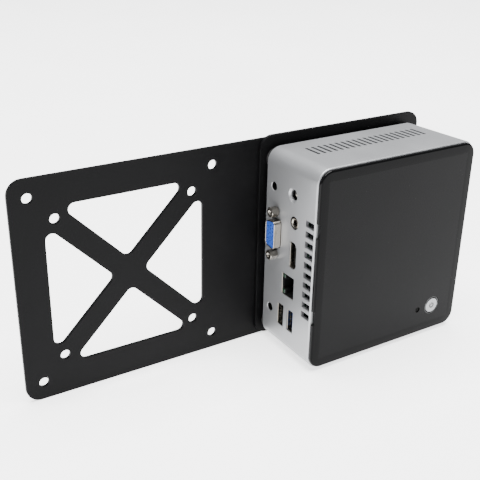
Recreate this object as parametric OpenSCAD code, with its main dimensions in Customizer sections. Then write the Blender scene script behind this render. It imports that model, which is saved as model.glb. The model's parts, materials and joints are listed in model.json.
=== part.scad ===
// A small square computer that hangs on an adapter plate, which is bolted to a long extension plate.
// Millimetres. The extension plate stands in the XZ plane and its back face is y = 0.
// The origin is the centre of its hole patterns. +Z is up, and the computer is on the -Y side.
//
// Computer parts are drawn lying flat and placed by place_pc(): there +Z points to the lid,
// +X to the front panel, -X to the port panel, and +Y is the side that is up when it hangs.

/* [Plates] */
// Height of the extension plate
plate_h = 119.6; // [118:0.2:130]
// Distance from the pattern centre to the free end of the extension plate
plate_left = 59.6; // [58:0.2:80]
// Thickness of each steel plate
plate_t = 2; // [1.8:0.1:2.2]
// Corner radius of both plates
plate_r = 8; // [4:1:12]
// Side of the large square hole pattern
pattern_large = 100; // [98:1:102]
// Side of the small square hole pattern
pattern_small = 75; // [74:1:76]
// Diameter of the pattern holes
pattern_hole_d = 5.2; // [4.5:0.1:6]
// Half the side of the square that holds the four windows
window_half = 43.4; // [42:0.2:44]
// Width of the diagonal bars between the windows
bar_w = 11.7; // [10:0.1:16]
// Width of the adapter plate
adapter_w = 114.5; // [112:0.5:120]
// Height of the adapter plate
adapter_h = 120.5; // [118:0.5:126]

/* [Computer body] */
// Length from the port panel to the front panel, at the rim
body_l = 110; // [109:0.5:112]
// Width, from one vented side to the other, at the rim
body_w = 115; // [114:0.5:117]
// Height of the housing walls
body_h = 45.6; // [45.4:0.1:46]
// How far the port and front panels lean out from the base to the rim
draft_end = 1.4; // [1:0.1:1.6]
// How far the vented sides lean out from the base to the rim
draft_side = 0.5; // [0.2:0.1:1.4]
// Thickness of the housing walls
wall = 2; // [1.8:0.1:2.2]
// Corner radius at the rim
corner_r = 8.2; // [8:0.1:9]
// Thickness of the lid
lid_h = 1.9; // [1.7:0.1:2.2]
// Gap between the computer and the adapter plate
standoff = 3; // [2.5:0.1:3.5]

/* [Vents] */
// Number of vents on the port panel
rear_vents = 10; // [6:1:10]
// Pitch of the vents on the port panel
rear_vent_pitch = 5.83; // [5:0.01:5.9]
// Number of slots on each vented side
side_vents = 20; // [10:1:20]
// Pitch of the side slots
side_vent_pitch = 3.97; // [3:0.01:4]

/* [Power button] */
// Diameter of the power button
button_d = 9.6; // [9:0.1:10.6]
// Travel of the power button
button_travel = 0.6; // [0.2:0.1:0.7]

/* [Fan] */
// Number of fan blades
blades = 29; // [9:2:31]
// Outer radius of the fan blades
blade_r = 24.5; // [20:0.5:25.5]

/* [Hidden] */

$fn = 48;
hull_fn = 32;
arc_steps = 8;
eps = 0.02;
fit = 0.05;

// Plates
adapter_pos = [135.75, 1.15];
plate_right = 190;
adapter_y = -plate_t;
window_pos = [0.45, 0.5];
window_r = 3.35;
window_tip_r = 3.5;
window_shift = 0.6;
screw_r = 2;
screw_hole_r = 2.25;
screw_head_r = 3.65;
nut_r = 4.04;
nut_t = 3.2;
hanger_pos = [[-37.5, 10], [37.5, 10]];
hanger_lift = 8;
hanger_neck_r = 2.2;
hanger_head_r = 4;
keyhole_r = 4.7;
keyhole_slot_r = 2.4;
clearance_r = 5.2;

// Computer body
pc_pos = [135, -0.9];
pc_back = -2 * plate_t - standoff;
rim_drop = 0.8;
rim_inset = 0.7;
rim_z = body_h - rim_drop;
base_l = body_l - 2 * draft_end;
base_w = body_w - 2 * draft_side;
base_r = corner_r - 0.3;
lid_inset = 0.75;
lid_top = body_h + lid_h;
foot_pos = [47, 49.5];
foot_r = 5.6;
foot_h = standoff - 0.1;
cover_t = 1.8;
cover_gap = 0.15;
block_in = [42.3, 43.4];
board_w0 = 30.4;
board_t = 1.6;
board_top = board_w0 + board_t;
board_side = 101.6;
board_x = -0.2;
board_hole_pos = [45.4, 46.4];

// Port places on the port panel, as [along Y, height]
power_jack_at = [37.8, 24.8];
audio_at = [23.1, 27.3];
vga_at = [11.95, 11.1];
video_at = [4.1, 27.2];
lan_at = [-15.4, 23.7];
usb_low_at = [-35.6, 17.9];
usb_high_at = [-35.6, 27.2];
insert_pos = [[-35.7, 7.1], [37.3, 7.1]];
vga_nut_gap = 25;
can_x = -51.9;
port_face_x = -53.9;

// Port places on the front panel
front_at = [0, 24];
front_size = [84, 20];
front_usb_at = [[-26, 26.6], [-7, 26.6]];
headset_at = [11.5, 26.4];
ir_at = [28, 24];

// Slots in the side that is down when it hangs, as [along X, height]
reader_at = [12, 28.7];
lock_at = [-38, 27];

// Button and light on the lid
button_at = [35.2, -40.8];
light_at = [23.8, -40.9];
button_r = button_d / 2;
ring_out_r = button_r + 0.75;
stem_z = 41.6;
plunger_z = 40.2;

// Fan
fan_at = [-5, 0];
fan_floor = 36.8;
fan_top = 44.4;
hub_r = 10.5;

// Memory
memory_x = 4;
memory_w0 = 25;
memory_t = 1.2;
memory_v = [17, 47];
latch_off = 35.6;
latch_pivot_y = 43;

// Drive
drive_x = [-28, 41.85];
drive_y = [-49.3, 50.7];
drive_z = [3.1, 10.1];
drive_hole_y = [-35.3, 41.3];
drive_hole_z = 6.1;

// Distance from the centre to the outside of the port panel, at height z
function wall_x(z) = base_l / 2 + draft_end * z / rim_z;

// ---------- helpers ----------

module place_pc() {
  translate([pc_pos[0], pc_back, pc_pos[1]]) rotate([90, 0, 0]) children();
}

// Extrudes a flat shape drawn in X and Z from y0 towards -Y
module upright(y0, t) {
  translate([0, y0, 0]) rotate([90, 0, 0]) linear_extrude(t) children();
}

module at_corners(x, y) {
  for (sx = [-1, 1], sy = [-1, 1]) translate([sx * x, sy * y]) children();
}

module rounded_rect(l, w, r) {
  square([l - 2 * r, w], center = true);
  square([l, w - 2 * r], center = true);
  at_corners(l / 2 - r, w / 2 - r) circle(r);
}

module rounded_block(l, w, h, r) {
  linear_extrude(h) rounded_rect(l, w, r);
}

module block(x, y, z) {
  translate([x[0], y[0], z[0]]) cube([x[1] - x[0], y[1] - y[0], z[1] - z[0]]);
}

function unit(v) = v / norm(v);

// Convex outline with an arc of radius r[i] at each point p[i], which run clockwise or anticlockwise
module rounded_poly(p, r) {
  n = len(p);
  a = [for (i = [0:n - 1]) unit(p[(i + n - 1) % n] - p[i])];
  b = [for (i = [0:n - 1]) unit(p[(i + 1) % n] - p[i])];
  half = [for (i = [0:n - 1]) acos(a[i] * b[i]) / 2];
  polygon([for (i = [0:n - 1], k = [0:arc_steps]) arc_point(p[i], a[i], b[i], half[i], r[i], k)]);
}

// Point k of the arc that rounds the corner at p, from the side along a to the side along b
function arc_point(p, a, b, half, r, k) =
  let (centre = p + unit(a + b) * r / sin(half),
    start = p + a * r / tan(half) - centre,
    turn = (a[0] * b[1] - a[1] * b[0] > 0 ? -1 : 1) * (180 - 2 * half) * k / arc_steps)
  centre + [start[0] * cos(turn) - start[1] * sin(turn), start[0] * sin(turn) + start[1] * cos(turn)];

// A rod that runs from the port panel into the computer; x0 is the end that is further out
module rod_x(x0, at, h, r) {
  translate([x0, at[0], at[1]]) rotate([0, 90, 0]) cylinder(r = r, h = h);
}

// Extrudes an outline drawn as [along Y, height] along +X, from x0
module panel_extrude(x0, h) {
  translate([x0, 0, 0]) rotate([90, 0, 90]) linear_extrude(h) children();
}

module corner_posts(l, w, r, z) {
  translate([0, 0, z]) at_corners(l / 2 - r, w / 2 - r) cylinder(r = r, h = eps, $fn = hull_fn);
}

// A wire through the given points, with a square clip at each bend
module wire(points, r) {
  for (i = [0:len(points) - 2]) {
    d = points[i + 1] - points[i];
    translate(points[i]) rotate([0, acos(d[2] / norm(d)), atan2(d[1], d[0])]) cylinder(r = r, h = norm(d));
    translate(points[i + 1]) cube(2.5 * r, center = true);
  }
}

// ---------- plates ----------

module window() {
  base = window_half - bar_w / sqrt(2);
  tip = bar_w / sqrt(2);
  translate([-window_shift, 0])
    rounded_poly([[-base, window_half], [0, tip], [base, window_half]], [window_r, window_tip_r, window_r]);
}

module pattern(side, r) {
  at_corners(side / 2, side / 2) circle(r);
}

// A slot that runs up from its lower centre
module up_slot(lift, r) {
  circle(r);
  translate([-r, 0]) square([2 * r, lift]);
  translate([0, lift]) circle(r);
}

module extension_plate() {
  color([0.13, 0.13, 0.14]) upright(0, plate_t) difference() {
    translate([(plate_right - plate_left) / 2, 0]) rounded_rect(plate_right + plate_left, plate_h, plate_r);
    pattern(pattern_large, pattern_hole_d / 2);
    pattern(pattern_small, pattern_hole_d / 2);
    translate(window_pos) for (a = [0:90:270]) rotate(a) window();
    translate(adapter_pos) pattern(pattern_small, screw_hole_r);
    for (p = hanger_pos) translate(pc_pos + p) up_slot(hanger_lift, clearance_r);
  }
}

module adapter_plate() {
  color([0.11, 0.11, 0.12]) difference() {
    upright(adapter_y, plate_t) difference() {
      translate(adapter_pos) rounded_rect(adapter_w, adapter_h, plate_r);
      translate(adapter_pos) pattern(pattern_small, screw_hole_r);
      for (p = hanger_pos) translate(pc_pos + p) {
        up_slot(hanger_lift, keyhole_slot_r);
        translate([0, hanger_lift]) circle(keyhole_r);
      }
    }
    on_joints(adapter_y - 0.25) cylinder(r1 = screw_hole_r, r2 = screw_hole_r + 1.85, h = 1.85);
  }
}

// Places children at each joining screw, with their +Z towards -Y
module on_joints(y) {
  for (sx = [-1, 1], sz = [-1, 1])
    translate([adapter_pos[0] + sx * pattern_small / 2, y, adapter_pos[1] + sz * pattern_small / 2])
      rotate([90, 0, 0]) children();
}

module plate_screws() {
  head_h = screw_head_r - screw_r;
  color([0.25, 0.25, 0.27]) on_joints(nut_t + 1) difference() {
    union() {
      cylinder(r = screw_r, h = nut_t + 1 + 2 * plate_t - 0.05 - head_h);
      translate([0, 0, nut_t + 1 + 2 * plate_t - 0.05 - head_h])
        cylinder(r1 = screw_r, r2 = screw_head_r, h = head_h);
    }
    translate([0, 0, nut_t + 2 * plate_t]) cylinder(r = 1.3, h = 2, $fn = 6);
  }
}

module plate_nuts() {
  color([0.7, 0.7, 0.72]) on_joints(nut_t) difference() {
    cylinder(r = nut_r, h = nut_t, $fn = 6);
    translate([0, 0, -1]) cylinder(r = screw_r + fit, h = nut_t + 2);
  }
}

module hanger_screws() {
  head_z = -standoff - plate_t - 0.1;
  color([0.72, 0.72, 0.74]) place_pc() for (p = hanger_pos) translate(p) difference() {
    union() {
      translate([0, 0, head_z - 1.7]) cylinder(r = hanger_head_r, h = 1.7);
      translate([0, 0, head_z]) cylinder(r = hanger_neck_r, h = plate_t + 0.2);
      translate([0, 0, -foot_h]) cylinder(r = 3.2, h = foot_h);
      cylinder(r = 1.95, h = cover_t + 0.8);
    }
    translate([0, 0, head_z - 2]) cylinder(r = 1.5, h = 1.4, $fn = 6);
  }
}

// ---------- housing ----------

module body_outside() {
  hull() {
    corner_posts(base_l, base_w, base_r, 0);
    corner_posts(body_l, body_w, corner_r, rim_z - eps);
    corner_posts(body_l - 0.5, body_w - 0.5, corner_r - 0.25, body_h - 0.2);
    corner_posts(body_l - 2 * rim_inset, body_w - 2 * rim_inset, corner_r - rim_inset, body_h - eps);
  }
}

module body_inside() {
  rise = body_h / rim_z;
  l = base_l - 2 * wall;
  w = base_w - 2 * wall;
  hull() {
    corner_posts(l, w, base_r - wall, -eps);
    corner_posts(l + 2 * draft_end * rise, w + 2 * draft_side * rise, corner_r - wall, body_h);
  }
}

module rear_vent_holes() {
  for (i = [0:rear_vents - 1])
    translate([-60, (i - (rear_vents - 1) / 2) * rear_vent_pitch + 0.5, 41.2]) rotate([0, 90, 0])
      rounded_block(7.2, 3.7, 10, 0.6);
}

module side_vent_holes() {
  for (i = [0:side_vents - 1])
    translate([(i - (side_vents - 1) / 2) * side_vent_pitch + 0.5, -65, 17.6]) rotate([-90, 0, 0])
      rounded_block(1.8, 12.4, 130, 0.89);
}

// Outline of the D-shaped display connector, with the wide side up
module vga_outline(grow) {
  translate(vga_at) rounded_poly([[-8.45 - grow, 4.15 + grow], [-7.0 - grow, -4.15 - grow],
    [7.0 + grow, -4.15 - grow], [8.45 + grow, 4.15 + grow]], [2, 2, 2, 2]);
}

module video_outline(grow) {
  translate(video_at) rounded_poly([[-7.3 - grow, -2.75 - grow], [7.3 + grow, -2.75 - grow],
    [7.3 + grow, 1.2 + grow], [5.4 + grow, 2.75 + grow], [-5.4 - grow, 2.75 + grow],
    [-7.3 - grow, 1.2 + grow]], [0.5, 0.5, 0.5, 0.5, 0.5, 0.5]);
}

module usb_outline(at, grow) {
  translate(at) rounded_rect(13.1 + 2 * grow, 5.7 + 2 * grow, 0.6);
}

module port_holes() {
  panel_extrude(-60, 10) {
    vga_outline(0.35);
    video_outline(0.5);
    translate(lan_at) square([13.2, 11.7], center = true);
    usb_outline(usb_low_at, 0.1);
    usb_outline(usb_high_at, 0.1);
    translate(audio_at) circle(3.7);
    translate(power_jack_at) circle(2.9);
    for (s = [-1, 1]) translate(vga_at + [s * vga_nut_gap / 2, 0]) circle(1.8);
    for (p = insert_pos) translate(p) circle(2.3);
  }
  rod_x_cone(wall_x(power_jack_at[1]), power_jack_at, 4.7, 2.9);
  for (p = insert_pos) rod_x_cone(wall_x(p[1]), p, 2.9, 2.3);
}

// A cone in the port panel: radius big at the outside face, small further in
module rod_x_cone(x, at, big, small) {
  depth = big - small;
  translate([-x - 1, at[0], at[1]]) rotate([0, 90, 0]) cylinder(r1 = big + 1, r2 = small, h = depth + 1);
}

module corner_blocks() {
  intersection() {
    hull() {
      corner_posts(base_l - wall, base_w - wall, base_r - wall / 2, cover_t);
      corner_posts(base_l - wall, base_w - wall, base_r - wall / 2, board_w0 - eps);
    }
    difference() {
      for (sx = [-1, 1], sy = [-1, 1]) {
        x = sx > 0 ? [block_in[0], 60] : [-60, -block_in[0]];
        y = sy > 0 ? [block_in[1], 60] : [-60, -block_in[1]];
        block(x, y, [cover_t, board_w0]);
      }
      translate([0, 0, -1]) at_corners(foot_pos[0], foot_pos[1]) cylinder(r = 1.5, h = 14);
      translate([0, 0, board_w0 - 10]) at_corners(board_hole_pos[0], board_hole_pos[1])
        cylinder(r = 1.25, h = 11);
    }
  }
}

module chassis_shell() {
  color([0.72, 0.73, 0.75]) place_pc() {
    difference() {
      body_outside();
      body_inside();
      rear_vent_holes();
      side_vent_holes();
      port_holes();
      panel_extrude(45, 15) translate(front_at) square(front_size, center = true);
      translate([reader_at[0], -60, reader_at[1]]) cube([25, 20, 2.8], center = true);
      translate([lock_at[0], -60, lock_at[1]]) cube([7, 20, 3], center = true);
    }
    corner_blocks();
    for (p = insert_pos) difference() {
      rod_x(-wall_x(p[1]) + wall, p, 6, 4);
      rod_x(-60, p, 20, 2.85);
    }
  }
}

module lid_outside() {
  l = body_l - 2 * lid_inset;
  w = body_w - 2 * lid_inset;
  r = corner_r - lid_inset;
  hull() {
    corner_posts(l, w, r, body_h);
    for (s = [[0, 0.9], [0.25, 1.3], [0.7, 1.6], [1.5, 1.75], [5.5, lid_h - eps]])
      corner_posts(l - 2 * s[0], w - 2 * s[0], r, body_h + s[1]);
  }
}

module lid() {
  rib_l = body_l - 2 * wall - 0.5;
  rib_w = body_w - 2 * wall - 0.5;
  rib_t = 1.4;
  color([0.06, 0.06, 0.065]) place_pc() difference() {
    union() {
      lid_outside();
      translate([0, 0, body_h - 2.4]) difference() {
        rounded_block(rib_l, rib_w, 2.4 + eps, corner_r - wall - 0.25);
        translate([0, 0, -1])
          rounded_block(rib_l - 2 * rib_t, rib_w - 2 * rib_t, 4, corner_r - wall - rib_t);
      }
    }
    for (s = [-1, 1]) block([-60, -body_l / 2 + 1.95], [s * 25.1 - 4, s * 25.1 + 4], [body_h - eps, 60]);
    translate([button_at[0], button_at[1], 40]) cylinder(r = ring_out_r + fit, h = 10);
    translate([light_at[0], light_at[1], 40]) cylinder(r = 1.65, h = 10);
  }
}

module bottom_cover() {
  l = base_l - 2 * (wall + cover_gap);
  w = base_w - 2 * (wall + cover_gap);
  color([0.1, 0.1, 0.1]) place_pc() difference() {
    union() {
      rounded_block(l, w, cover_t, base_r - wall - cover_gap);
      for (p = hanger_pos) translate(p) cylinder(r = 3.4, h = cover_t + 0.9);
    }
    translate([0, 0, -1]) at_corners(foot_pos[0], foot_pos[1]) cylinder(r = 1.7, h = 4);
    for (p = hanger_pos) translate([p[0], p[1], -1]) cylinder(r = 2, h = 5);
  }
}

module feet() {
  color([0.05, 0.05, 0.05]) place_pc() translate([0, 0, -foot_h]) at_corners(foot_pos[0], foot_pos[1])
    difference() {
      union() {
        cylinder(r1 = foot_r - 0.5, r2 = foot_r, h = 0.5);
        translate([0, 0, 0.5]) cylinder(r = foot_r, h = foot_h - 0.5);
      }
      translate([0, 0, -1]) cylinder(r = 3.2, h = foot_h + 2);
    }
}

module cover_screws() {
  color([0.75, 0.75, 0.77]) place_pc() at_corners(foot_pos[0], foot_pos[1]) difference() {
    union() {
      translate([0, 0, -1.7]) cylinder(r = 2.9, h = 1.7);
      cylinder(r = 1.45, h = 10);
    }
    translate([0, 0, -2.7]) cylinder(r = 1.2, h = 2, $fn = 6);
  }
}

module rear_inserts() {
  color([0.8, 0.66, 0.35]) place_pc() for (p = insert_pos) difference() {
    rod_x(-50.2, p, 4, 2.8);
    rod_x(-51, p, 4.3, 1.25);
  }
}

// ---------- power button and lights ----------

module power_button() {
  color([0.78, 0.78, 0.8]) place_pc() translate([button_at[0], button_at[1], 0]) {
    translate([0, 0, body_h + 0.4]) cylinder(r = button_r, h = lid_h - 0.85);
    translate([0, 0, body_h + lid_h - 0.45]) cylinder(r1 = button_r, r2 = button_r - 0.4, h = 0.4);
    translate([0, 0, body_h - 1.1]) cylinder(r = button_r - 0.6, h = 1.5);
    translate([0, 0, body_h - 1.7]) cylinder(r = ring_out_r + 0.6, h = 0.6);
    translate([0, 0, stem_z]) cylinder(r = 2, h = body_h - 1.7 - stem_z);
  }
}

module power_ring() {
  color([0.1, 0.1, 0.12]) place_pc() translate([button_at[0], button_at[1], body_h - 0.6]) difference() {
    cylinder(r = ring_out_r, h = lid_h + 0.45);
    translate([0, 0, -1]) cylinder(r = button_r + 0.2, h = lid_h + 3);
  }
}

module switch_plunger() {
  color([0.15, 0.15, 0.15]) place_pc() translate([button_at[0], button_at[1], plunger_z])
    cylinder(r = 1.2, h = stem_z - plunger_z);
}

module button_board() {
  z = 36;
  color([0.08, 0.3, 0.16]) place_pc() {
    block([22, 44], [-48, -34.5], [z, z + 1.2]);
    difference() {
      block([32.2, 38.2], [-43.8, -37.8], [z + 1.2, z + 4.4]);
      translate([button_at[0], button_at[1], plunger_z - button_travel - 1.2]) cylinder(r = 1.3, h = 5);
    }
    block([22.8, 24.8], [-41.4, -40.4], [z + 1.2, z + 1.9]);
    for (x = [29.5, 41]) translate([x, -37, board_top]) cylinder(r = 1.6, h = z - board_top);
  }
}

module drive_light() {
  color([0.75, 0.78, 0.8, 0.6]) place_pc() translate([light_at[0], light_at[1], 0]) {
    translate([0, 0, body_h - 0.4]) cylinder(r = 1.6, h = lid_h + 0.3);
    translate([0, 0, 38.2]) cylinder(r = 1.1, h = body_h - 0.4 - 38.2);
  }
}

// ---------- front panel ----------

module front_panel() {
  color([0.05, 0.05, 0.055]) place_pc() difference() {
    union() {
      panel_extrude(wall_x(14) - 0.7, 0.6) translate(front_at)
        rounded_rect(front_size[0] - 0.3, front_size[1] - 0.3, 0.5);
      panel_extrude(wall_x(14) - wall - 1.2, 1.1) translate(front_at)
        rounded_rect(front_size[0] + 2.4, front_size[1] + 2.4, 1);
      panel_extrude(wall_x(14) - wall - 0.2, 1.6) translate(front_at)
        rounded_rect(front_size[0] - 0.3, front_size[1] - 0.3, 0.5);
    }
    for (p = front_usb_at) panel_extrude(40, 20) usb_outline(p, 0.15);
    panel_extrude(40, 20) translate(headset_at) circle(3.3);
    panel_extrude(40, 20) translate(ir_at) rounded_rect(14, 8, 0.8);
  }
}

module ir_window() {
  color([0.18, 0.04, 0.05]) place_pc() panel_extrude(wall_x(14) - wall - 1, wall + 0.8)
    translate(ir_at) rounded_rect(13.8, 7.8, 0.7);
}

module headset_jack() {
  color([0.2, 0.2, 0.21]) place_pc() difference() {
    union() {
      block([39, 50.2], [headset_at[0] - 3.2, headset_at[0] + 3.2], [23.2, board_w0]);
      rod_x(50.2, headset_at, 3.4, 3.1);
    }
    rod_x(41, headset_at, 15, 1.8);
  }
}

module card_reader() {
  color([0.7, 0.7, 0.72]) place_pc() difference() {
    block([reader_at[0] - 14, reader_at[0] + 14], [-54.9, -27], [27, board_w0 - 0.05]);
    block([reader_at[0] - 12.2, reader_at[0] + 12.2], [-60, -29], [27.5, 29.9]);
  }
}

// ---------- board ----------

module main_board() {
  color([0.05, 0.25, 0.3]) place_pc() translate([board_x, 0, board_w0]) difference() {
    linear_extrude(board_t) rounded_rect(board_side, board_side, 2);
    translate([-board_x, 0, -1]) at_corners(board_hole_pos[0], board_hole_pos[1]) cylinder(r = 1.7, h = 4);
  }
}

module board_screws() {
  color([0.75, 0.75, 0.77]) place_pc() at_corners(board_hole_pos[0], board_hole_pos[1]) difference() {
    union() {
      translate([0, 0, board_top]) cylinder(r = 2.7, h = 1.5);
      translate([0, 0, board_top - 8]) cylinder(r = 1.2, h = 8);
    }
    translate([0, 0, board_top + 0.7]) cylinder(r = 1.1, h = 1, $fn = 6);
  }
}

module board_components() {
  color([0.12, 0.12, 0.13]) place_pc() {
    // Power stage, controllers and the fan header, on the lid side
    for (i = [0:3]) translate([-30 + 10 * i, 37.5, board_top]) rounded_block(7, 7, 3.4, 1);
    for (i = [0:4]) translate([-32 + 9 * i, 46, board_top]) cylinder(r = 2.5, h = 4.2);
    for (y = [-9, 9]) block([31.5, 43.5], [y - 6, y + 6], [board_top, board_top + 1.2]);
    block([34, 38], [23, 31], [board_top, board_top + 2.6]);
    block([-34, -22], [-45, -35], [board_top, board_top + 1.6]);
    // Controller, network transformer and the drive header, on the cover side
    block([20, 34], [-14, 0], [board_w0 - 1.4, board_w0]);
    block([-29, -15], [-18, -2], [board_w0 - 3.4, board_w0]);
    difference() {
      block([27.5, 39.5], [-47, -41], [27.4, board_w0]);
      block([28.4, 38.6], [-48, -44], [28.75, 29.15]);
    }
    // Socket of the wireless card
    difference() {
      block([-10, 12], [6.5, 14.5], [26, board_w0]);
      block([-11, 13], [6, 9], [27.3, 28.2]);
    }
  }
}

module processor() {
  color([0.1, 0.35, 0.2]) place_pc() translate([0, -2, board_top]) {
    linear_extrude(0.8) square([25, 27], center = true);
    translate([0, 0, 0.8]) linear_extrude(0.3) square([12, 9], center = true);
  }
}

module cold_plate() {
  z = board_top + 1.1;
  color([0.72, 0.45, 0.3]) place_pc() {
    translate([0, -2, z]) rounded_block(44, 44, 1.5, 3);
    at_cooler_holes() translate([0, 0, z - 1.1]) cylinder(r = 2, h = 1.1);
  }
}

module at_cooler_holes() {
  translate([0, -2, 0]) at_corners(19, 19) children();
}

module heat_pipe() {
  z = board_top + 2.6;
  bend = 8;
  x_end = -44;
  y_in = -14;
  color([0.8, 0.5, 0.32]) place_pc() translate([0, 0, z]) {
    block([x_end + bend, 16], [y_in - 4, y_in + 4], [0, 2]);
    translate([16, y_in, 0]) cylinder(r = 4, h = 2);
    translate([x_end + bend, y_in + bend, 0]) rotate([0, 0, 180]) rotate_extrude(angle = 90)
      translate([bend - 4, 0]) square([8, 2]);
    block([x_end - 4, x_end + 4], [y_in + bend, 22], [0, 2]);
    translate([x_end, 22, 0]) cylinder(r = 4, h = 2);
  }
}

module fin_stack() {
  fin_z = board_top + 4.6;
  fins = 27;
  color([0.75, 0.76, 0.78]) place_pc() {
    block([-50.8, -38], [-27.2, 27.2], [fin_z, fin_z + 0.4]);
    for (i = [0:fins - 1])
      block([-50.8, -38], [-27.2 + 2.077 * i, -26.8 + 2.077 * i], [fin_z + 0.4, fan_top]);
  }
}

// ---------- fan ----------

module fan_housing() {
  color([0.09, 0.09, 0.1]) place_pc() translate([fan_at[0], fan_at[1], 0]) difference() {
    translate([-1.2, 0, fan_floor]) rounded_block(62.4, 60, fan_top - 0.6 - fan_floor, 3);
    translate([0, 0, fan_floor + 0.8]) cylinder(r = 28, h = 10);
    block([-40, -8], [-28, 28], [fan_floor + 0.8, 60]);
    translate([0, 0, fan_floor - 1]) cylinder(r = 2.55, h = 3);
    for (a = [0:120:240]) rotate(a) translate([12, -4, fan_floor - 1]) cube([8, 8, 3]);
  }
}

module fan_cover() {
  color([0.55, 0.56, 0.58]) place_pc() translate([fan_at[0], fan_at[1], fan_top - 0.6]) difference() {
    translate([-1.2, 0, 0]) rounded_block(62.4, 60, 0.6, 3);
    translate([0, 0, -1]) cylinder(r = 17, h = 3);
    translate([-1, 0, -1]) at_corners(27, 26) cylinder(r = 1, h = 3);
  }
}

// One backward-curved blade, as an arc-shaped strip
module blade() {
  bend_r = 16;
  sweep = 42;
  steps = 6;
  function edge(r, i) = [bend_r - r * cos(sweep * i / steps), r * sin(sweep * i / steps)];
  translate([14, 0]) rotate(-28) polygon(concat(
    [for (i = [0:steps]) edge(bend_r + 0.35, i)],
    [for (i = [steps:-1:0]) edge(bend_r - 0.35, i)]));
}

module fan_rotor() {
  z0 = fan_floor + 1.5;
  z1 = fan_top - 1.2;
  color([0.07, 0.07, 0.08]) place_pc() translate([fan_at[0], fan_at[1], 0]) {
    difference() {
      translate([0, 0, z0 + 0.2]) cylinder(r = hub_r, h = z1 - z0 - 0.2);
      translate([0, 0, z0 - 1]) cylinder(r = hub_r - 1.2, h = z1 - z0);
    }
    translate([0, 0, z0]) cylinder(r = 1, h = z1 - z0 - 0.5);
    translate([0, 0, 40]) difference() {
      cylinder(r = blade_r - 1, h = 0.6);
      translate([0, 0, -1]) cylinder(r = hub_r - 0.6, h = 3);
    }
    intersection() {
      translate([0, 0, z0]) linear_extrude(z1 - z0)
        for (i = [0:blades - 1]) rotate(360 * i / blades) blade();
      translate([0, 0, z0 - 1]) cylinder(r = blade_r, h = 20);
    }
  }
}

module fan_bearing() {
  color([0.8, 0.62, 0.3]) place_pc() translate([fan_at[0], fan_at[1], fan_floor + 0.05]) difference() {
    cylinder(r = 2.5, h = 4.9);
    translate([0, 0, 0.8]) cylinder(r = 1.05, h = 6);
  }
}

module fan_stator() {
  color([0.75, 0.4, 0.2]) place_pc() translate([fan_at[0], fan_at[1], fan_floor + 1.8]) difference() {
    linear_extrude(2.8) union() {
      circle(4);
      for (a = [0:90:270]) rotate(a) {
        translate([3, -1]) square([3.4, 2]);
        intersection() {
          difference() {
            circle(8);
            circle(6.3);
          }
          translate([5, -3.5]) square([4, 7]);
        }
      }
    }
    translate([0, 0, -1]) cylinder(r = 2.55, h = 5);
  }
}

module fan_lead() {
  color([0.1, 0.1, 0.1]) place_pc() {
    for (i = [0:3]) wire([[25.05, 24.6 + 1.2 * i, 39.5], [29, 24.6 + 1.2 * i, 39.5],
      [33, 24.6 + 1.2 * i, 37.9]], 0.4);
    block([32.6, 36.6], [23.2, 29.6], [board_top + 2.65, 37.9]);
  }
}

// ---------- memory and wireless card ----------

module at_latch(side) {
  translate([memory_x + side * latch_off, latch_pivot_y, 0]) children();
}

module memory_socket() {
  half = latch_off + 1.6;
  color([0.08, 0.08, 0.09]) place_pc() difference() {
    union() {
      block([memory_x - half, memory_x + half], [44.6, 50.4], [22.8, board_w0]);
      for (s = [-1, 1]) at_latch(s) {
        block([-1.6, 1.6], [-1.5, 1.7], [27.4, board_w0]);
        block([-1.6, 1.6], [-1.5, 1.7], [22.8, 24.1]);
      }
    }
    block([memory_x - 34, memory_x + 34], [40, memory_v[1] + 0.1],
      [memory_w0 - fit, memory_w0 + memory_t + fit]);
    for (s = [-1, 1]) at_latch(s) translate([0, 0, 20]) cylinder(r = 0.75, h = 9.5);
  }
}

module memory_module() {
  color([0.05, 0.3, 0.15]) place_pc() translate([memory_x, 0, memory_w0]) difference() {
    block([-33.8, 33.8], memory_v, [0, memory_t]);
    block([-7.4, -5.6], [memory_v[1] - 4, 60], [-1, 3]);
    for (s = [-1, 1]) translate([s * 33.8, memory_v[0] + 20, -1]) cylinder(r = 0.9, h = 4);
  }
}

module memory_chips() {
  color([0.06, 0.06, 0.06]) place_pc() for (i = [0:3], z = [memory_w0 - 1, memory_w0 + memory_t])
    translate([memory_x - 23.4 + 15.6 * i, memory_v[0] + 12, z])
      linear_extrude(1) square([10, 13], center = true);
}

module memory_latch(side) {
  color([0.75, 0.75, 0.77]) place_pc() at_latch(side) {
    block([-0.5, 0.5], [-25, 0], [24.3, 27.2]);
    translate([0, 0, 24.3]) cylinder(r = 1.1, h = 2.9);
    translate([0, 0, 23]) cylinder(r = 0.7, h = 6.2);
    x = side > 0 ? [-2.6, 0] : [0, 2.6];
    block(x, [-25, -22], [24.3, 24.9]);
  }
}

module memory_latch_left() {
  memory_latch(-1);
}

module memory_latch_right() {
  memory_latch(1);
}

module wireless_card() {
  color([0.05, 0.3, 0.2]) place_pc() {
    difference() {
      block([-9.9, 11.9], [-21.2, 8.9], [27.35, 28.15]);
      translate([1, -21.9, 20]) cylinder(r = 2.6, h = 10);
    }
    block([-7, 9], [-15, 1], [25.9, 27.35]);
  }
}

module card_screw() {
  color([0.78, 0.78, 0.8]) place_pc() translate([1, -21.9, 0]) {
    difference() {
      translate([0, 0, 27.35]) cylinder(r = 2.3, h = board_w0 - 27.35);
      translate([0, 0, 27]) cylinder(r = 1, h = 3);
    }
    difference() {
      union() {
        translate([0, 0, 26.4]) cylinder(r = 2.4, h = 0.9);
        translate([0, 0, 27.2]) cylinder(r = 0.95, h = 2.4);
      }
      translate([0, 0, 25.8]) cylinder(r = 0.8, h = 1, $fn = 6);
    }
  }
}

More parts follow.
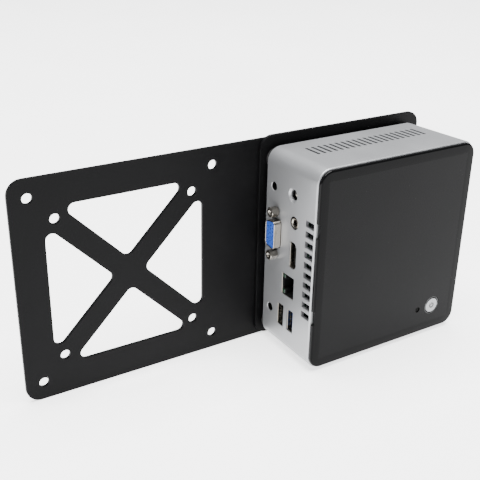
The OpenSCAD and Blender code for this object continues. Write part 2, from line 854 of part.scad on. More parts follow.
module antennas() {
  color([0.2, 0.2, 0.2]) place_pc() for (s = [-1, 1]) {
    lane = s > 0 ? 5 : -3;
    block([51.3, 52.1], [s * 30 - 9, s * 30 + 9], [36.2, 42.6]);
    wire([[51.6, s * 30, 37], [48, s * 30, 37], [48, 52.4, 37], [lane, 52.4, 37], [lane, 52.4, 21.6],
      [lane, -8, 21.6], [lane, -8, 25.2]], 0.5);
  }
}

module coin_cell() {
  color([0.78, 0.78, 0.8]) place_pc() translate([-18, -38, 0]) {
    translate([0, 0, 26.9]) cylinder(r = 10, h = 2.6);
    translate([0, 0, 26.3]) cylinder(r = 8.6, h = 0.6);
  }
}

module cell_holder() {
  color([0.08, 0.08, 0.09]) place_pc() translate([-18, -38, 0]) difference() {
    translate([0, 0, 26.5]) cylinder(r = 11.2, h = board_w0 - 26.5);
    translate([0, 0, 26]) cylinder(r = 10.1, h = 3.55);
    block([-13, 13], [-2, 2], [26, 28]);
  }
}

// ---------- drive ----------

module drive() {
  color([0.45, 0.46, 0.48]) place_pc() difference() {
    translate([(drive_x[0] + drive_x[1]) / 2, (drive_y[0] + drive_y[1]) / 2, drive_z[0]])
      rounded_block(drive_x[1] - drive_x[0], drive_y[1] - drive_y[0], drive_z[1] - drive_z[0], 2);
    block([-2, 32], [-60, drive_y[0] + 3], [4.2, 8.2]);
    for (y = drive_hole_y, x = [drive_x[0] - 1, drive_x[1] - 3]) rod_x(x, [y, drive_hole_z], 4, 1.3);
  }
}

module drive_bay() {
  side = [[drive_x[0] - 1.15, drive_x[0] - 0.15], [drive_x[1] + 0.15, drive_x[1] + 1.15]];
  y = [-40, 42.9];
  color([0.7, 0.7, 0.72]) place_pc() difference() {
    union() {
      block([side[0][0], side[1][1]], y, [cover_t, cover_t + 1]);
      for (s = side) block(s, y, [cover_t, 8.6]);
    }
    block([-18, 26], [-30, -4], [0, 5]);
    block([-18, 26], [4, 34], [0, 5]);
    translate([hanger_pos[1][0], hanger_pos[1][1], 0]) cylinder(r = 4.2, h = 4);
    for (h = drive_hole_y) rod_x(-40, [h, drive_hole_z], 100, 1.5);
  }
}

module drive_screws() {
  color([0.75, 0.75, 0.77]) place_pc() for (y = drive_hole_y) {
    rod_x(drive_x[0] - 2.15, [y, drive_hole_z], 1, 1.6);
    rod_x(drive_x[0] - 1.2, [y, drive_hole_z], 3.6, 1.25);
    rod_x(drive_x[1] + 1.15, [y, drive_hole_z], 1, 1.6);
    rod_x(drive_x[1] - 2.4, [y, drive_hole_z], 3.6, 1.25);
  }
}

module drive_cable() {
  ribbon = [28.5, 38.5];
  color([0.1, 0.1, 0.11]) place_pc() {
    block([-5, 38.5], [-53.4, drive_y[0] - 0.05], [3.7, 9.2]);
    block([-1.8, 31.8], [drive_y[0] - 0.1, drive_y[0] + 2.8], [5.9, 7]);
    block(ribbon, [-52.2, -51.9], [9.2, 26.8]);
    translate([ribbon[0], -49.9, 26.8]) rotate([0, 90, 0]) rotate([0, 0, 180]) rotate_extrude(angle = 90)
      translate([2, 0]) square([0.3, ribbon[1] - ribbon[0]]);
    block(ribbon, [-49.9, -44.1], [28.8, 29.1]);
  }
}

// ---------- port panel connectors ----------

module vga_card() {
  color([0.05, 0.3, 0.2]) place_pc() {
    block([-37.6, -36], [-7, 29.6], [3.4, 26]);
    block([-38.6, -35.1], [0, 18], [26, board_w0]);
  }
}

module vga_shell() {
  color([0.75, 0.73, 0.68]) place_pc() {
    difference() {
      panel_extrude(-51.3, 0.8) translate(vga_at) rounded_rect(30.8, 12.5, 1.5);
      panel_extrude(-52, 3) vga_outline(-0.45);
      for (s = [-1, 1]) rod_x(-52, vga_at + [s * vga_nut_gap / 2, 0], 3, 1.6);
    }
    difference() {
      panel_extrude(-58.6, 7.3) vga_outline(0);
      panel_extrude(-60, 10) vga_outline(-0.45);
    }
  }
}

module vga_insert() {
  color([0.1, 0.3, 0.7]) place_pc() difference() {
    panel_extrude(-58.3, 20.6) vga_outline(-0.5);
    for (row = [-1, 0, 1], i = [-2:2])
      rod_x(-60, vga_at + [2.29 * i + (row == 0 ? 0.6 : -0.5), 2.1 * row], 6, 0.5);
  }
}

module vga_nuts() {
  color([0.75, 0.73, 0.68]) place_pc() for (s = [-1, 1]) difference() {
    at = vga_at + [s * vga_nut_gap / 2, 0];
    union() {
      translate([-59, at[0], at[1]]) rotate([0, 90, 0]) cylinder(r = 2.9, h = 4.7, $fn = 6);
      rod_x(-54.3, at, 7, 1.5);
    }
    rod_x(-60, at, 5.5, 1.15);
  }
}

module video_port() {
  color([0.75, 0.74, 0.7]) place_pc() difference() {
    panel_extrude(port_face_x, 13) video_outline(0.35);
    panel_extrude(-54, 12) video_outline(0);
  }
}

module video_tongue() {
  color([0.05, 0.05, 0.05]) place_pc() translate([-52, video_at[0], video_at[1]]) {
    block([0, 10], [-5.6, 5.6], [-0.35, 0.75]);
    block([6, 10], [-6.8, 6.8], [-2.6, 1]);
  }
}

module lan_jack() {
  color([0.72, 0.73, 0.74]) place_pc() difference() {
    union() {
      block([can_x, -32], [lan_at[0] - 8, lan_at[0] + 8], [16.2, board_w0 - 0.05]);
      panel_extrude(port_face_x, 2.1) translate(lan_at) square([13, 11.5], center = true);
    }
    lan_cavity(-60, 20);
    for (s = [-1, 1]) panel_extrude(-60, 10)
      translate(lan_at + [s * 4.7, -3.9]) square([2.5, 2.1], center = true);
  }
}

// Room for the plug, with the latch step towards the cover
module lan_cavity(x0, h) {
  panel_extrude(x0, h) translate(lan_at) {
    translate([-5.9, -2.4]) square([11.8, 7.2]);
    translate([-3.1, -4.6]) square([6.2, 2.3]);
  }
}

module lan_contacts() {
  color([0.85, 0.68, 0.3]) place_pc() for (i = [0:7])
    translate([-50, lan_at[0] - 3.57 + 1.02 * i, lan_at[1] + 4.2]) {
      block([0, 9.9], [-0.2, 0.2], [0, 0.35]);
      translate([0, -0.2, 0]) rotate([0, 20, 0]) cube([5, 0.4, 0.35]);
    }
}

module lan_lights() {
  color([0.25, 0.45, 0.25]) place_pc() for (s = [-1, 1])
    panel_extrude(-53.8, 3.7) translate(lan_at + [s * 4.7, -3.9]) square([2.4, 2], center = true);
}

module usb_shell_hole(x0, h, at) {
  panel_extrude(x0, h) translate(at) rounded_rect(12.4, 5, 0.4);
}

module usb_cans() {
  color([0.75, 0.74, 0.72]) place_pc() {
    difference() {
      union() {
        block([can_x, -36], [usb_low_at[0] - 7.2, usb_low_at[0] + 7.2], [14, board_w0 - 0.05]);
        for (p = [usb_low_at, usb_high_at]) panel_extrude(port_face_x, 2.1) usb_outline(p, 0);
      }
      for (p = [usb_low_at, usb_high_at]) usb_shell_hole(-60, 22.5, p);
    }
    for (p = front_usb_at) difference() {
      panel_extrude(37, wall_x(14) - 37.5) usb_outline(p, 0);
      usb_shell_hole(38, 20, p);
    }
  }
}

module usb_tongues() {
  color([0.1, 0.25, 0.6]) place_pc() {
    for (p = [usb_low_at, usb_high_at]) {
      block([-52.8, -37.55], [p[0] - 5.6, p[0] + 5.6], [p[1] + 0.4, p[1] + 2.2]);
    }
    for (p = front_usb_at) block([38.05, 52.6], [p[0] - 5.6, p[0] + 5.6], [p[1] + 0.3, p[1] + 2.1]);
  }
}

module power_jack() {
  color([0.12, 0.12, 0.12]) place_pc() {
    difference() {
      block([can_x, -38], [power_jack_at[0] - 4.5, power_jack_at[0] + 4.5], [19.5, board_w0 - 0.05]);
      rod_x(-60, power_jack_at, 18, 2.8);
    }
    rod_x(-52.4, power_jack_at, 11.4, 1.1);
  }
}

module audio_jack() {
  color([0.7, 0.7, 0.7]) place_pc() difference() {
    union() {
      block([can_x, -38.5], [audio_at[0] - 3.4, audio_at[0] + 3.4], [23.4, board_w0 - 0.05]);
      rod_x(-54.2, audio_at, 3, 3.1);
    }
    rod_x(-60, audio_at, 20, 1.8);
  }
}

// ---------- what is drawn ----------

extension_plate();
adapter_plate();
plate_screws();
plate_nuts();
hanger_screws();
chassis_shell();
lid();
bottom_cover();
feet();
cover_screws();
rear_inserts();
power_button();
power_ring();
switch_plunger();
button_board();
drive_light();
front_panel();
ir_window();
headset_jack();
card_reader();
main_board();
board_screws();
board_components();
processor();
cold_plate();
heat_pipe();
fin_stack();
fan_housing();
fan_cover();
fan_rotor();
fan_bearing();
fan_stator();
fan_lead();
memory_socket();
memory_module();
memory_chips();
memory_latch_left();
memory_latch_right();
wireless_card();
card_screw();
antennas();
coin_cell();
cell_holder();
drive();
drive_bay();
drive_screws();
drive_cable();
vga_card();
vga_shell();
vga_insert();
vga_nuts();
video_port();
video_tongue();
lan_jack();
lan_contacts();
lan_lights();
usb_cans();
usb_tongues();
power_jack();
audio_jack();
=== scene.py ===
# A small square computer hung on an adapter plate, which is bolted to a long plate with two square
# hole patterns. Every length is in millimetres until make() turns the points into metres.
import json
import math

import bpy
from mathutils import Matrix, Vector
from mathutils.geometry import tessellate_polygon


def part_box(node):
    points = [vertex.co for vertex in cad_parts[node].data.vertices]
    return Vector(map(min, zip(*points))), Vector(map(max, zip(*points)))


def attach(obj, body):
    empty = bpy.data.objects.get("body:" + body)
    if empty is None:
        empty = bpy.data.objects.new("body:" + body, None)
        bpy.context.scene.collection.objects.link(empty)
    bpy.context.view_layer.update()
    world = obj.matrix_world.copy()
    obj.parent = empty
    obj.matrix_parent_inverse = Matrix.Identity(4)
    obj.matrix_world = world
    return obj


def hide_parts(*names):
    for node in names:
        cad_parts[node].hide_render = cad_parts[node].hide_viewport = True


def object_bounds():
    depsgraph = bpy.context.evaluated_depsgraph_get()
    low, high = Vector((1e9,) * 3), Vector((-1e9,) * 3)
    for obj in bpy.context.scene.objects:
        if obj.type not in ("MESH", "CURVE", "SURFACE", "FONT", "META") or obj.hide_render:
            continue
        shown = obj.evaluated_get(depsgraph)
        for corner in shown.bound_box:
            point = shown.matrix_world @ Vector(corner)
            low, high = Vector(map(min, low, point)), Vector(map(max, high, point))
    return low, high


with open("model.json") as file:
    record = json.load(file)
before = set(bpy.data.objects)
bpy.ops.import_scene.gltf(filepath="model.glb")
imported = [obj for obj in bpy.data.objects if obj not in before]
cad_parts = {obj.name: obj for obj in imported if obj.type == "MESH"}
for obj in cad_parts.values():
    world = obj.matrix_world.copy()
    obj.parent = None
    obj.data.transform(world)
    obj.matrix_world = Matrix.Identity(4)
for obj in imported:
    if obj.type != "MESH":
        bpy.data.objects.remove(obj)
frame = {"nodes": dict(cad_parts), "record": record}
cad_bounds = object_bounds()
MM = 0.001


# ---------- places from the frame ----------


def mm(v):
    return [x / MM for x in v]


def middle(node):
    """The centre of a CAD node's box."""
    return [(a + b) / 2 for a, b in zip(*(mm(c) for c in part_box(node)))]


shell_lo, shell_hi = (mm(c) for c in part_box("chassis_shell"))
long_lo, long_hi = (mm(c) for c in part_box("extension_plate"))
wide_lo, wide_hi = (mm(c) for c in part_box("adapter_plate"))
PC = ((shell_lo[0] + shell_hi[0]) / 2, shell_hi[1], (shell_lo[2] + shell_hi[2]) / 2)
MOUNT_AT = {m["name"]: mm(m["pos_m"]) for m in frame["record"]["mounts"]}

# Each matrix turns a piece's own (a, b, c) into the shared frame's x, y and z, still in millimetres.
# FLAT: the computer lying on its cover, lid up. SIDES: (along the side, height, upwards).
# PORTS: (along the panel, height, depth into the computer). PLATE: (x, z, towards the lid).
FLAT = Matrix(((1, 0, 0, PC[0]), (0, 0, -1, PC[1]), (0, 1, 0, PC[2]), (0, 0, 0, 1)))
SIDES = Matrix(((1, 0, 0, PC[0]), (0, -1, 0, PC[1]), (0, 0, -1, PC[2]), (0, 0, 0, 1)))
PORTS = Matrix(((0, 0, 1, PC[0]), (0, -1, 0, PC[1]), (1, 0, 0, PC[2]), (0, 0, 0, 1)))
PLATE = Matrix(((1, 0, 0, 0), (0, 0, -1, 0), (0, 1, 0, 0), (0, 0, 0, 1)))
METRES = Matrix.Scale(MM, 4)


def port(mount):
    """A mount's place on the port panel or the front panel, to a hundredth of a millimetre."""
    _, y, z = MOUNT_AT[mount]
    return (round(z - PC[2], 2), round(PC[1] - y, 2))


def side_slot(mount):
    """A mount's place on the upper or lower side, to a hundredth of a millimetre."""
    x, y, _ = MOUNT_AT[mount]
    return (round(x - PC[0], 2), round(PC[1] - y, 2))


def on_lid(node):
    """A round CAD node's place on the lid, to a tenth, as its box is the box of a many-sided shape."""
    x, _, z = middle(node)
    return (round(x - PC[0], 1), round(z - PC[2], 1))


# ---------- outlines, with the solid on the left ----------


def circle(cx, cy, r, n=48):
    turns = [2 * math.pi * i / n for i in range(n)]
    return [(cx + r * math.cos(t), cy + r * math.sin(t)) for t in turns]


def rounded(points, radii, steps=8):
    """A closed outline, anticlockwise, with an arc at each point."""
    out = []
    n = len(points)
    radii = radii if isinstance(radii, (list, tuple)) else [radii] * n
    for i in range(n):
        p = Vector(points[i])
        a = (Vector(points[i - 1]) - p).normalized()
        b = (Vector(points[(i + 1) % n]) - p).normalized()
        half = a.angle(b) / 2
        centre = p + (a + b).normalized() * radii[i] / math.sin(half)
        start = p + a * radii[i] / math.tan(half) - centre
        sweep = (math.pi - 2 * half) * (-1 if a.x * b.y - a.y * b.x > 0 else 1)
        for k in range(steps + 1):
            t = sweep * k / steps
            out.append((centre.x + start.x * math.cos(t) - start.y * math.sin(t),
                        centre.y + start.x * math.sin(t) + start.y * math.cos(t)))
    return anticlockwise(out)


def anticlockwise(loop):
    area = sum(loop[i - 1][0] * loop[i][1] - loop[i][0] * loop[i - 1][1] for i in range(len(loop)))
    return loop if area > 0 else loop[::-1]


def rect(cx, cy, w, h, r, steps=8):
    x, y = w / 2, h / 2
    corners = [(cx - x, cy - y), (cx + x, cy - y), (cx + x, cy + y), (cx - x, cy + y)]
    return rounded(corners, r, steps)


def slot_up(cx, cy, r, lift, n=24):
    turns = [math.pi * i / n for i in range(n + 1)]
    low = [(cx - r * math.cos(t), cy - r * math.sin(t)) for t in turns]
    high = [(cx + r * math.cos(t), cy + lift + r * math.sin(t)) for t in turns]
    return low + high


def keyhole(cx, cy, head_r, slot_r, lift):
    """A slot whose round head is lift above its lower end."""
    n = 30
    start = math.acos(slot_r / head_r)
    turns = [-math.pi / 2 - start + (math.pi + 2 * start) * i / n for i in range(n + 1)]
    head = [(cx + head_r * math.sin(a), cy + lift + head_r * math.cos(a)) for a in turns]
    turns = [-math.pi * i / 16 for i in range(17)]
    tail = [(cx + slot_r * math.cos(a), cy + slot_r * math.sin(a)) for a in turns]
    return anticlockwise(head + tail)


def hexagon(r):
    return [(r * math.cos(math.pi / 3 * i), r * math.sin(math.pi / 3 * i)) for i in range(6)]


def grown(loop, g):
    """The loop moved by g to its right, which is away from a solid on its left."""
    n = len(loop)
    out = []
    for i in range(n):
        a, b, c = Vector(loop[i - 1]), Vector(loop[i]), Vector(loop[(i + 1) % n])
        e, f = (b - a).normalized(), (c - b).normalized()
        m = Vector((e.y + f.y, -e.x - f.x))
        m = m.normalized() / max(0.3, math.cos(e.angle(f, 0) / 2))
        out.append((b.x + m.x * g, b.y + m.y * g))
    return out


# ---------- meshes, as (points, faces) ----------


def prism(outer, holes, z0, z1, soft=(0.15, 0.15), steps=3):
    """A plate with holes from z0 to z1, its edges rounded by soft[0] at z0 and soft[1] at z1."""

    def round_edge(z, r, side):
        turns = [math.pi / 2 * k / steps for k in range(steps + 1)]
        return [(z + side * r * (1 - math.cos(t)), r * (1 - math.sin(t))) for t in turns] if r else [(z, 0)]

    profile = round_edge(z0, soft[0], 1) + round_edge(z1, soft[1], -1)[::-1]
    points, faces, caps = [], [], ([], [])
    for loop in [outer] + [h[::-1] for h in holes]:
        rings = []
        for z, inset in profile:
            rings.append(range(len(points), len(points) + len(loop)))
            points += [(x, y, z) for x, y in grown(loop, -inset)]
        faces += band(rings)
        caps[0].append(rings[0])
        caps[1].append(rings[-1])
    for k, rings in enumerate(caps):
        flat = [i for r in rings for i in r]
        for t in tessellate_polygon([[Vector(points[i]) for i in r] for r in rings]):
            a, b, c = (flat[j] for j in t)
            pa, pb, pc = points[a], points[b], points[c]
            up = (pb[0] - pa[0]) * (pc[1] - pa[1]) - (pb[1] - pa[1]) * (pc[0] - pa[0]) > 0
            faces.append((a, b, c) if up == (k == 1) else (a, c, b))
    return points, faces


def band(rings, closed=False):
    """Quads between rings of point numbers, each ring anticlockwise seen from its far side."""
    faces = []
    pairs = list(zip(rings, rings[1:])) + ([(rings[-1], rings[0])] if closed else [])
    for low, high in pairs:
        n = len(low)
        faces += [(low[i], low[(i + 1) % n], high[(i + 1) % n], high[i]) for i in range(n)]
    return faces


def capped(points, rings):
    """Rings joined into a closed skin with a flat face at each end."""
    return points, band(rings) + [tuple(rings[0])[::-1], tuple(rings[-1])]


def lathe(profile, n=48):
    """Turns (radius, z) pairs round the z axis. It starts and ends on the axis, or closes on itself."""
    points, rings = [], []
    for r, z in profile:
        ring = circle(0, 0, r, n) if r else [(0, 0)]
        rings.append(range(len(points), len(points) + len(ring)))
        points += [(x, y, z) for x, y in ring]
    faces = []
    closing = [(rings[-1], rings[0])] if profile[0][0] > 0 else []
    for low, high in list(zip(rings, rings[1:])) + closing:
        if len(low) == 1:
            faces += [(low[0], high[(i + 1) % n], high[i]) for i in range(n)]
        elif len(high) == 1:
            faces += [(low[i], low[(i + 1) % n], high[0]) for i in range(n)]
        else:
            faces += band([low, high])
    return points, faces


def loft(sections, steps=10):
    """The rings of rounded rectangles, each given as length, width, corner radius and height."""
    points, rings = [], []
    for length, width, r, z in sections:
        ring = rect(0, 0, length, width, r, steps)
        rings.append(range(len(points), len(points) + len(ring)))
        points += [(x, y, z) for x, y in ring]
    return points, rings


def nut(across, h, bore, pitch=0.7, chamfer=0.9):
    """A hexagon nut with a chamfer on both faces and a threaded bore."""
    n = 72
    turns = [2 * math.pi * i / n for i in range(n)]
    apothem = across / 2
    corner = apothem / math.cos(math.pi / 6)
    crown = apothem * 0.98
    mouth = bore + 0.35
    points, rings = [], []

    levels = [(mouth, 0), (crown, 0)]
    for k in range(1, 5):
        rise = (corner - crown) * k / 4
        levels.append((crown + rise, rise * 0.58 * chamfer))
    levels += [(r, h - z) for r, z in levels[:0:-1]] + [(mouth, h)]
    for r_max, z in levels:
        rings.append(range(len(points), len(points) + n))
        for t in turns:
            edge = apothem / math.cos((t + math.pi / 6) % (math.pi / 3) - math.pi / 6)
            points.append((min(edge, r_max) * math.cos(t), min(edge, r_max) * math.sin(t), z))

    rows = max(8, int(h / pitch * 6))
    for k in range(rows + 1):
        z = h - h * k / rows
        rings.append(range(len(points), len(points) + n))
        for i, t in enumerate(turns):
            phase = (z / pitch + i / n) % 1
            r = bore + 0.3 * abs(2 * phase - 1) if 0 < k < rows else bore + 0.32
            points.append((r * math.cos(t), r * math.sin(t), z))
    return points, band(rings, closed=True)


def thread(r, z0, z1, pitch=0.7, depth=0.3, n=36):
    """A threaded rod with coned ends."""
    points, rings = [], []
    rows = int((z1 - z0) / pitch * 6)
    for k in range(rows + 1):
        z = z0 + (z1 - z0) * k / rows
        end = min(1, k / 4, (rows - k) / 4)
        rings.append(range(len(points), len(points) + n))
        for i in range(n):
            t = 2 * math.pi * i / n
            phase = (z / pitch + i / n) % 1
            radius = (r - depth * abs(2 * phase - 1)) * (0.8 + 0.2 * end)
            points.append((radius * math.cos(t), radius * math.sin(t), z))
    return capped(points, rings)


def block(x, y, z, soft=0.12):
    cx, cy = (x[0] + x[1]) / 2, (y[0] + y[1]) / 2
    r = min(0.25, (x[1] - x[0]) / 4, (y[1] - y[0]) / 4)
    soft = min(soft, (z[1] - z[0]) / 4, r)
    return prism(rect(cx, cy, x[1] - x[0], y[1] - y[0], r, 3), [], z[0], z[1], (soft, soft), 2)


def bar(loop, z0, z1):
    """A sharp-edged prism, for cutting."""
    return prism(loop, [], z0, z1, (0, 0))


def joined(*parts):
    points, faces = [], []
    for p, f in parts:
        base = len(points)
        points += p
        faces += [tuple(i + base for i in face) for face in f]
    return points, faces


def moved(geo, x, y, z=0.0):
    step = Vector((x, y, z))
    return [tuple(Vector(p) + step) for p in geo[0]], geo[1]


def at_each(places, geo, z=0.0):
    return joined(*[moved(geo, x, y, z) for x, y in places])


# ---------- objects ----------


def make(name, geo, base=FLAT):
    mesh = bpy.data.meshes.new(name)
    points = [tuple(METRES @ (base @ Vector(p))) for p in geo[0]]
    mesh.from_pydata(points, [], geo[1])
    mesh.validate()
    obj = bpy.data.objects.new(name, mesh)
    bpy.context.scene.collection.objects.link(obj)
    return obj


def shade(obj, angle):
    mesh = obj.data
    mesh.polygons.foreach_set("use_smooth", [True] * len(mesh.polygons))
    mesh.set_sharp_from_angle(angle=math.radians(angle))
    mesh.update()


def applied(obj):
    """Turns the object's modifiers into its own mesh."""
    bpy.context.view_layer.update()
    depsgraph = bpy.context.evaluated_depsgraph_get()
    mesh = bpy.data.meshes.new_from_object(obj.evaluated_get(depsgraph))
    obj.modifiers.clear()
    obj.data = mesh


def cut(obj, geo, base=FLAT):
    tool = make("cutter", geo, base)
    modifier = obj.modifiers.new("cut", "BOOLEAN")
    modifier.operation = "DIFFERENCE"
    modifier.solver = "EXACT"
    modifier.object = tool
    applied(obj)
    bpy.data.objects.remove(tool)


def soften(obj, width, angle=40):
    modifier = obj.modifiers.new("soften", "BEVEL")
    modifier.width = width * MM
    modifier.segments = 2
    modifier.limit_method = "ANGLE"
    modifier.angle_limit = math.radians(angle)
    modifier.use_clamp_overlap = True
    applied(obj)


# Shading angles: a plate's rounded edges and a bevel's steps stay out of the shading of large flat faces.
PLATE_ANGLE = 14
BEVEL_ANGLE = 20
NUT_ANGLE = 24
USUAL_ANGLE = 32


def piece(name, geo, base, finish, stands_for=(), body="computer", angle=USUAL_ANGLE):
    """Finishes a mesh or an object, lets it ride on a body and hides the CAD nodes that it stands for."""
    obj = geo if isinstance(geo, bpy.types.Object) else make(name, geo, base)
    obj.name = name
    shade(obj, angle)
    obj.data.materials.clear()
    obj.data.materials.append(MATERIALS[finish])
    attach(obj, body)
    if stands_for:
        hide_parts(*stands_for)
    return obj


# ---------- materials ----------

FINE_SHARE, CLOUD_SHARE = 0.35, 0.65
TONE_RANGE, GLOSS_RANGE = (0.35, 0.65), (0.3, 0.7)
RELIEF_DEPTH = 0.0001


def material(name, dark, light, rough, metallic=0.0, grain=2500.0, bump=0.05, patch=60.0,
             stretch=(1, 1, 1), specular=0.5):
    """A colour that drifts between two tones over patches, with its own grain in gloss and relief."""
    mat = bpy.data.materials.new(name)
    mat.use_nodes = True
    nodes, links = mat.node_tree.nodes, mat.node_tree.links
    shader = nodes["Principled BSDF"]
    shader.inputs["Metallic"].default_value = metallic
    shader.inputs["Specular IOR Level"].default_value = specular
    place = nodes.new("ShaderNodeTexCoord")
    scale = nodes.new("ShaderNodeMapping")
    scale.inputs["Scale"].default_value = stretch
    links.new(place.outputs["Object"], scale.inputs["Vector"])

    def noise(size, detail):
        node = nodes.new("ShaderNodeTexNoise")
        node.inputs["Scale"].default_value = size
        node.inputs["Detail"].default_value = detail
        links.new(scale.outputs["Vector"], node.inputs["Vector"])
        return node

    cloud, fine = noise(patch, 4.0), noise(grain, 3.0)
    both = nodes.new("ShaderNodeMath")
    both.operation = "MULTIPLY_ADD"
    both.inputs[1].default_value = FINE_SHARE
    links.new(fine.outputs["Fac"], both.inputs[0])
    part = nodes.new("ShaderNodeMath")
    part.operation = "MULTIPLY"
    part.inputs[1].default_value = CLOUD_SHARE
    links.new(cloud.outputs["Fac"], part.inputs[0])
    links.new(part.outputs[0], both.inputs[2])
    tone = nodes.new("ShaderNodeValToRGB")
    for element, position, colour in zip(tone.color_ramp.elements, TONE_RANGE, (dark, light)):
        element.position = position
        element.color = (*colour, 1)
    links.new(both.outputs[0], tone.inputs["Fac"])
    links.new(tone.outputs["Color"], shader.inputs["Base Color"])
    gloss = nodes.new("ShaderNodeMapRange")
    for socket, value in zip(("From Min", "From Max", "To Min", "To Max"), (*GLOSS_RANGE, *rough)):
        gloss.inputs[socket].default_value = value
    links.new(both.outputs[0], gloss.inputs["Value"])
    links.new(gloss.outputs["Result"], shader.inputs["Roughness"])
    relief = nodes.new("ShaderNodeBump")
    relief.inputs["Strength"].default_value = bump
    relief.inputs["Distance"].default_value = RELIEF_DEPTH
    links.new(fine.outputs["Fac"], relief.inputs["Height"])
    links.new(relief.outputs["Normal"], shader.inputs["Normal"])
    return mat


# Each finish has its dark tone, its light tone, its range of roughness and what else it needs.
FINISHES = {
    "powder_coat": ((0.0022, 0.0022, 0.0024), (0.0034, 0.0034, 0.0037), (0.42, 0.52),
        dict(grain=1600, bump=0.22, specular=0.062)),
    "dark_steel": ((0.1, 0.1, 0.11), (0.15, 0.15, 0.16), (0.3, 0.42), dict(metallic=1.0, grain=3000)),
    "zinc_steel": ((0.52, 0.53, 0.55), (0.66, 0.67, 0.69), (0.22, 0.34),
        dict(metallic=1.0, grain=3000, bump=0.04)),
    "silver_plastic": ((0.3, 0.304, 0.313), (0.34, 0.344, 0.353), (0.37, 0.45),
        dict(metallic=0.68, grain=5200, bump=0.1, patch=25)),
    "gloss_black": ((0.0022, 0.0022, 0.0024), (0.003, 0.003, 0.0033), (0.05, 0.08),
        dict(grain=900, bump=0.004, patch=40, specular=0.058)),
    # Painted shade: a darker, less reflective gloss for the flat faces of the lid's border band, standing
    # in for a darker reflection there.
    "gloss_painted_shade": ((0.0016, 0.0016, 0.0018), (0.0022, 0.0022, 0.0024), (0.05, 0.08),
        dict(grain=900, bump=0.004, patch=40, specular=0.048)),
    # Painted highlight: a more reflective gloss for the lid's rounded edge faces, giving a brighter line
    # along the edge.
    "gloss_painted_highlight": ((0.002, 0.002, 0.0022), (0.003, 0.003, 0.0033), (0.05, 0.08),
        dict(grain=900, bump=0.004, patch=40, specular=0.12)),
    "black_plastic": ((0.01, 0.01, 0.011), (0.018, 0.018, 0.019), (0.42, 0.55),
        dict(grain=3500, bump=0.1)),
    "foot_rubber": ((0.008, 0.008, 0.008), (0.016, 0.016, 0.016), (0.7, 0.85),
        dict(grain=2600, bump=0.15)),
    "insert_brass": ((0.52, 0.38, 0.17), (0.66, 0.5, 0.24), (0.25, 0.36),
        dict(metallic=1.0, grain=3000, bump=0.03)),
    "button_silver": ((0.21, 0.214, 0.222), (0.26, 0.264, 0.272), (0.3, 0.4),
        dict(metallic=0.9, grain=6000)),
    "light_pipe": ((0.001, 0.001, 0.001), (0.002, 0.002, 0.002), (0.12, 0.2),
        dict(grain=2000, bump=0.02, specular=0.02)),
    "ir_filter": ((0.02, 0.003, 0.004), (0.03, 0.005, 0.006), (0.06, 0.1),
        dict(grain=1200, bump=0.01, specular=0.12)),
    "circuit_board": ((0.006, 0.045, 0.025), (0.012, 0.075, 0.04), (0.28, 0.4),
        dict(grain=1500, bump=0.12, patch=160)),
    "copper": ((0.62, 0.29, 0.17), (0.76, 0.4, 0.25), (0.22, 0.38), dict(metallic=1.0)),
    "fin_aluminium": ((0.55, 0.56, 0.58), (0.68, 0.69, 0.7), (0.25, 0.4), dict(metallic=1.0)),
    "lead_black": ((0.008, 0.008, 0.008), (0.02, 0.02, 0.02), (0.45, 0.6), dict(grain=2200, bump=0.08)),
    "drive_case": ((0.33, 0.34, 0.36), (0.44, 0.45, 0.47), (0.3, 0.42),
        dict(metallic=1.0, stretch=(1, 1, 8))),
    "nickel_plate": ((0.25, 0.232, 0.202), (0.37, 0.348, 0.31), (0.18, 0.28),
        dict(metallic=1.0, grain=2600, bump=0.03)),
    "connector_blue": ((0.01, 0.048, 0.27), (0.016, 0.072, 0.36), (0.35, 0.48),
        dict(grain=2600, bump=0.06)),
    "ring_black": ((0.006, 0.006, 0.007), (0.01, 0.01, 0.011), (0.12, 0.2), dict(grain=2000, bump=0.02)),
    "mark_dark": ((0.004, 0.004, 0.0045), (0.008, 0.008, 0.0085), (0.4, 0.5),
        dict(grain=4000, bump=0.03)),
    "port_black": ((0.0016, 0.0016, 0.0017), (0.003, 0.003, 0.0032), (0.4, 0.55),
        dict(grain=3500, bump=0.08, specular=0.12)),
    "light_green": ((0.004, 0.016, 0.008), (0.007, 0.028, 0.014), (0.2, 0.3),
        dict(grain=2000, bump=0.03)),
}
MATERIALS = {name: material(name, *tones, **more) for name, (*tones, more) in FINISHES.items()}

SLOT_OF = {s["node"]: s["material_slot"] for s in frame["record"]["subparts"]}
for node, obj in frame["nodes"].items():
    obj.data.materials.clear()
    obj.data.materials.append(MATERIALS[SLOT_OF[node]])

# ---------- housing ----------

WALL = 2.0
LEAN_END, LEAN_SIDE = 1.4, 0.5
BASE_R, TOP_R, LEAN_R = 7.9, 8.2, 0.3
INNER_BASE_R, INNER_TOP_R = 5.9, 6.2
RIM_R = 0.8
TOP = (shell_hi[0] - shell_lo[0], shell_hi[2] - shell_lo[2])
BASE = (TOP[0] - 2 * LEAN_END, TOP[1] - 2 * LEAN_SIDE)
HEIGHT = shell_hi[1] - shell_lo[1]
RIM = HEIGHT - RIM_R
POST_X, POST_Y, POST_BORE, POST_TOP = (42.3, 51.2), (43.4, 53.8), (45.4, 46.4), 30.4
VENT_SHIFT = 0.5
REAR_VENT = {"count": 10, "pitch": 5.83, "height": 41.2, "size": (3.7, 7.2)}
SIDE_VENT = {"count": 20, "pitch": 3.97, "height": 17.6, "size": (1.8, 12.4)}
# How deep the cutters reach in their own frames.
THROUGH_PORTS, THROUGH_FRONT, THROUGH_SIDES, THROUGH_SLOTS = (-60, -50), (45, 60), (-65, 65), (50, 70)
HANGERS = ((-37.5, 10), (37.5, 10))
FEET = tuple((sx * 47, sy * 49.5) for sx in (-1, 1) for sy in (-1, 1))


def wall_x(h):
    """How far the port panel's outside is from the middle at height h."""
    return BASE[0] / 2 + LEAN_END * h / RIM


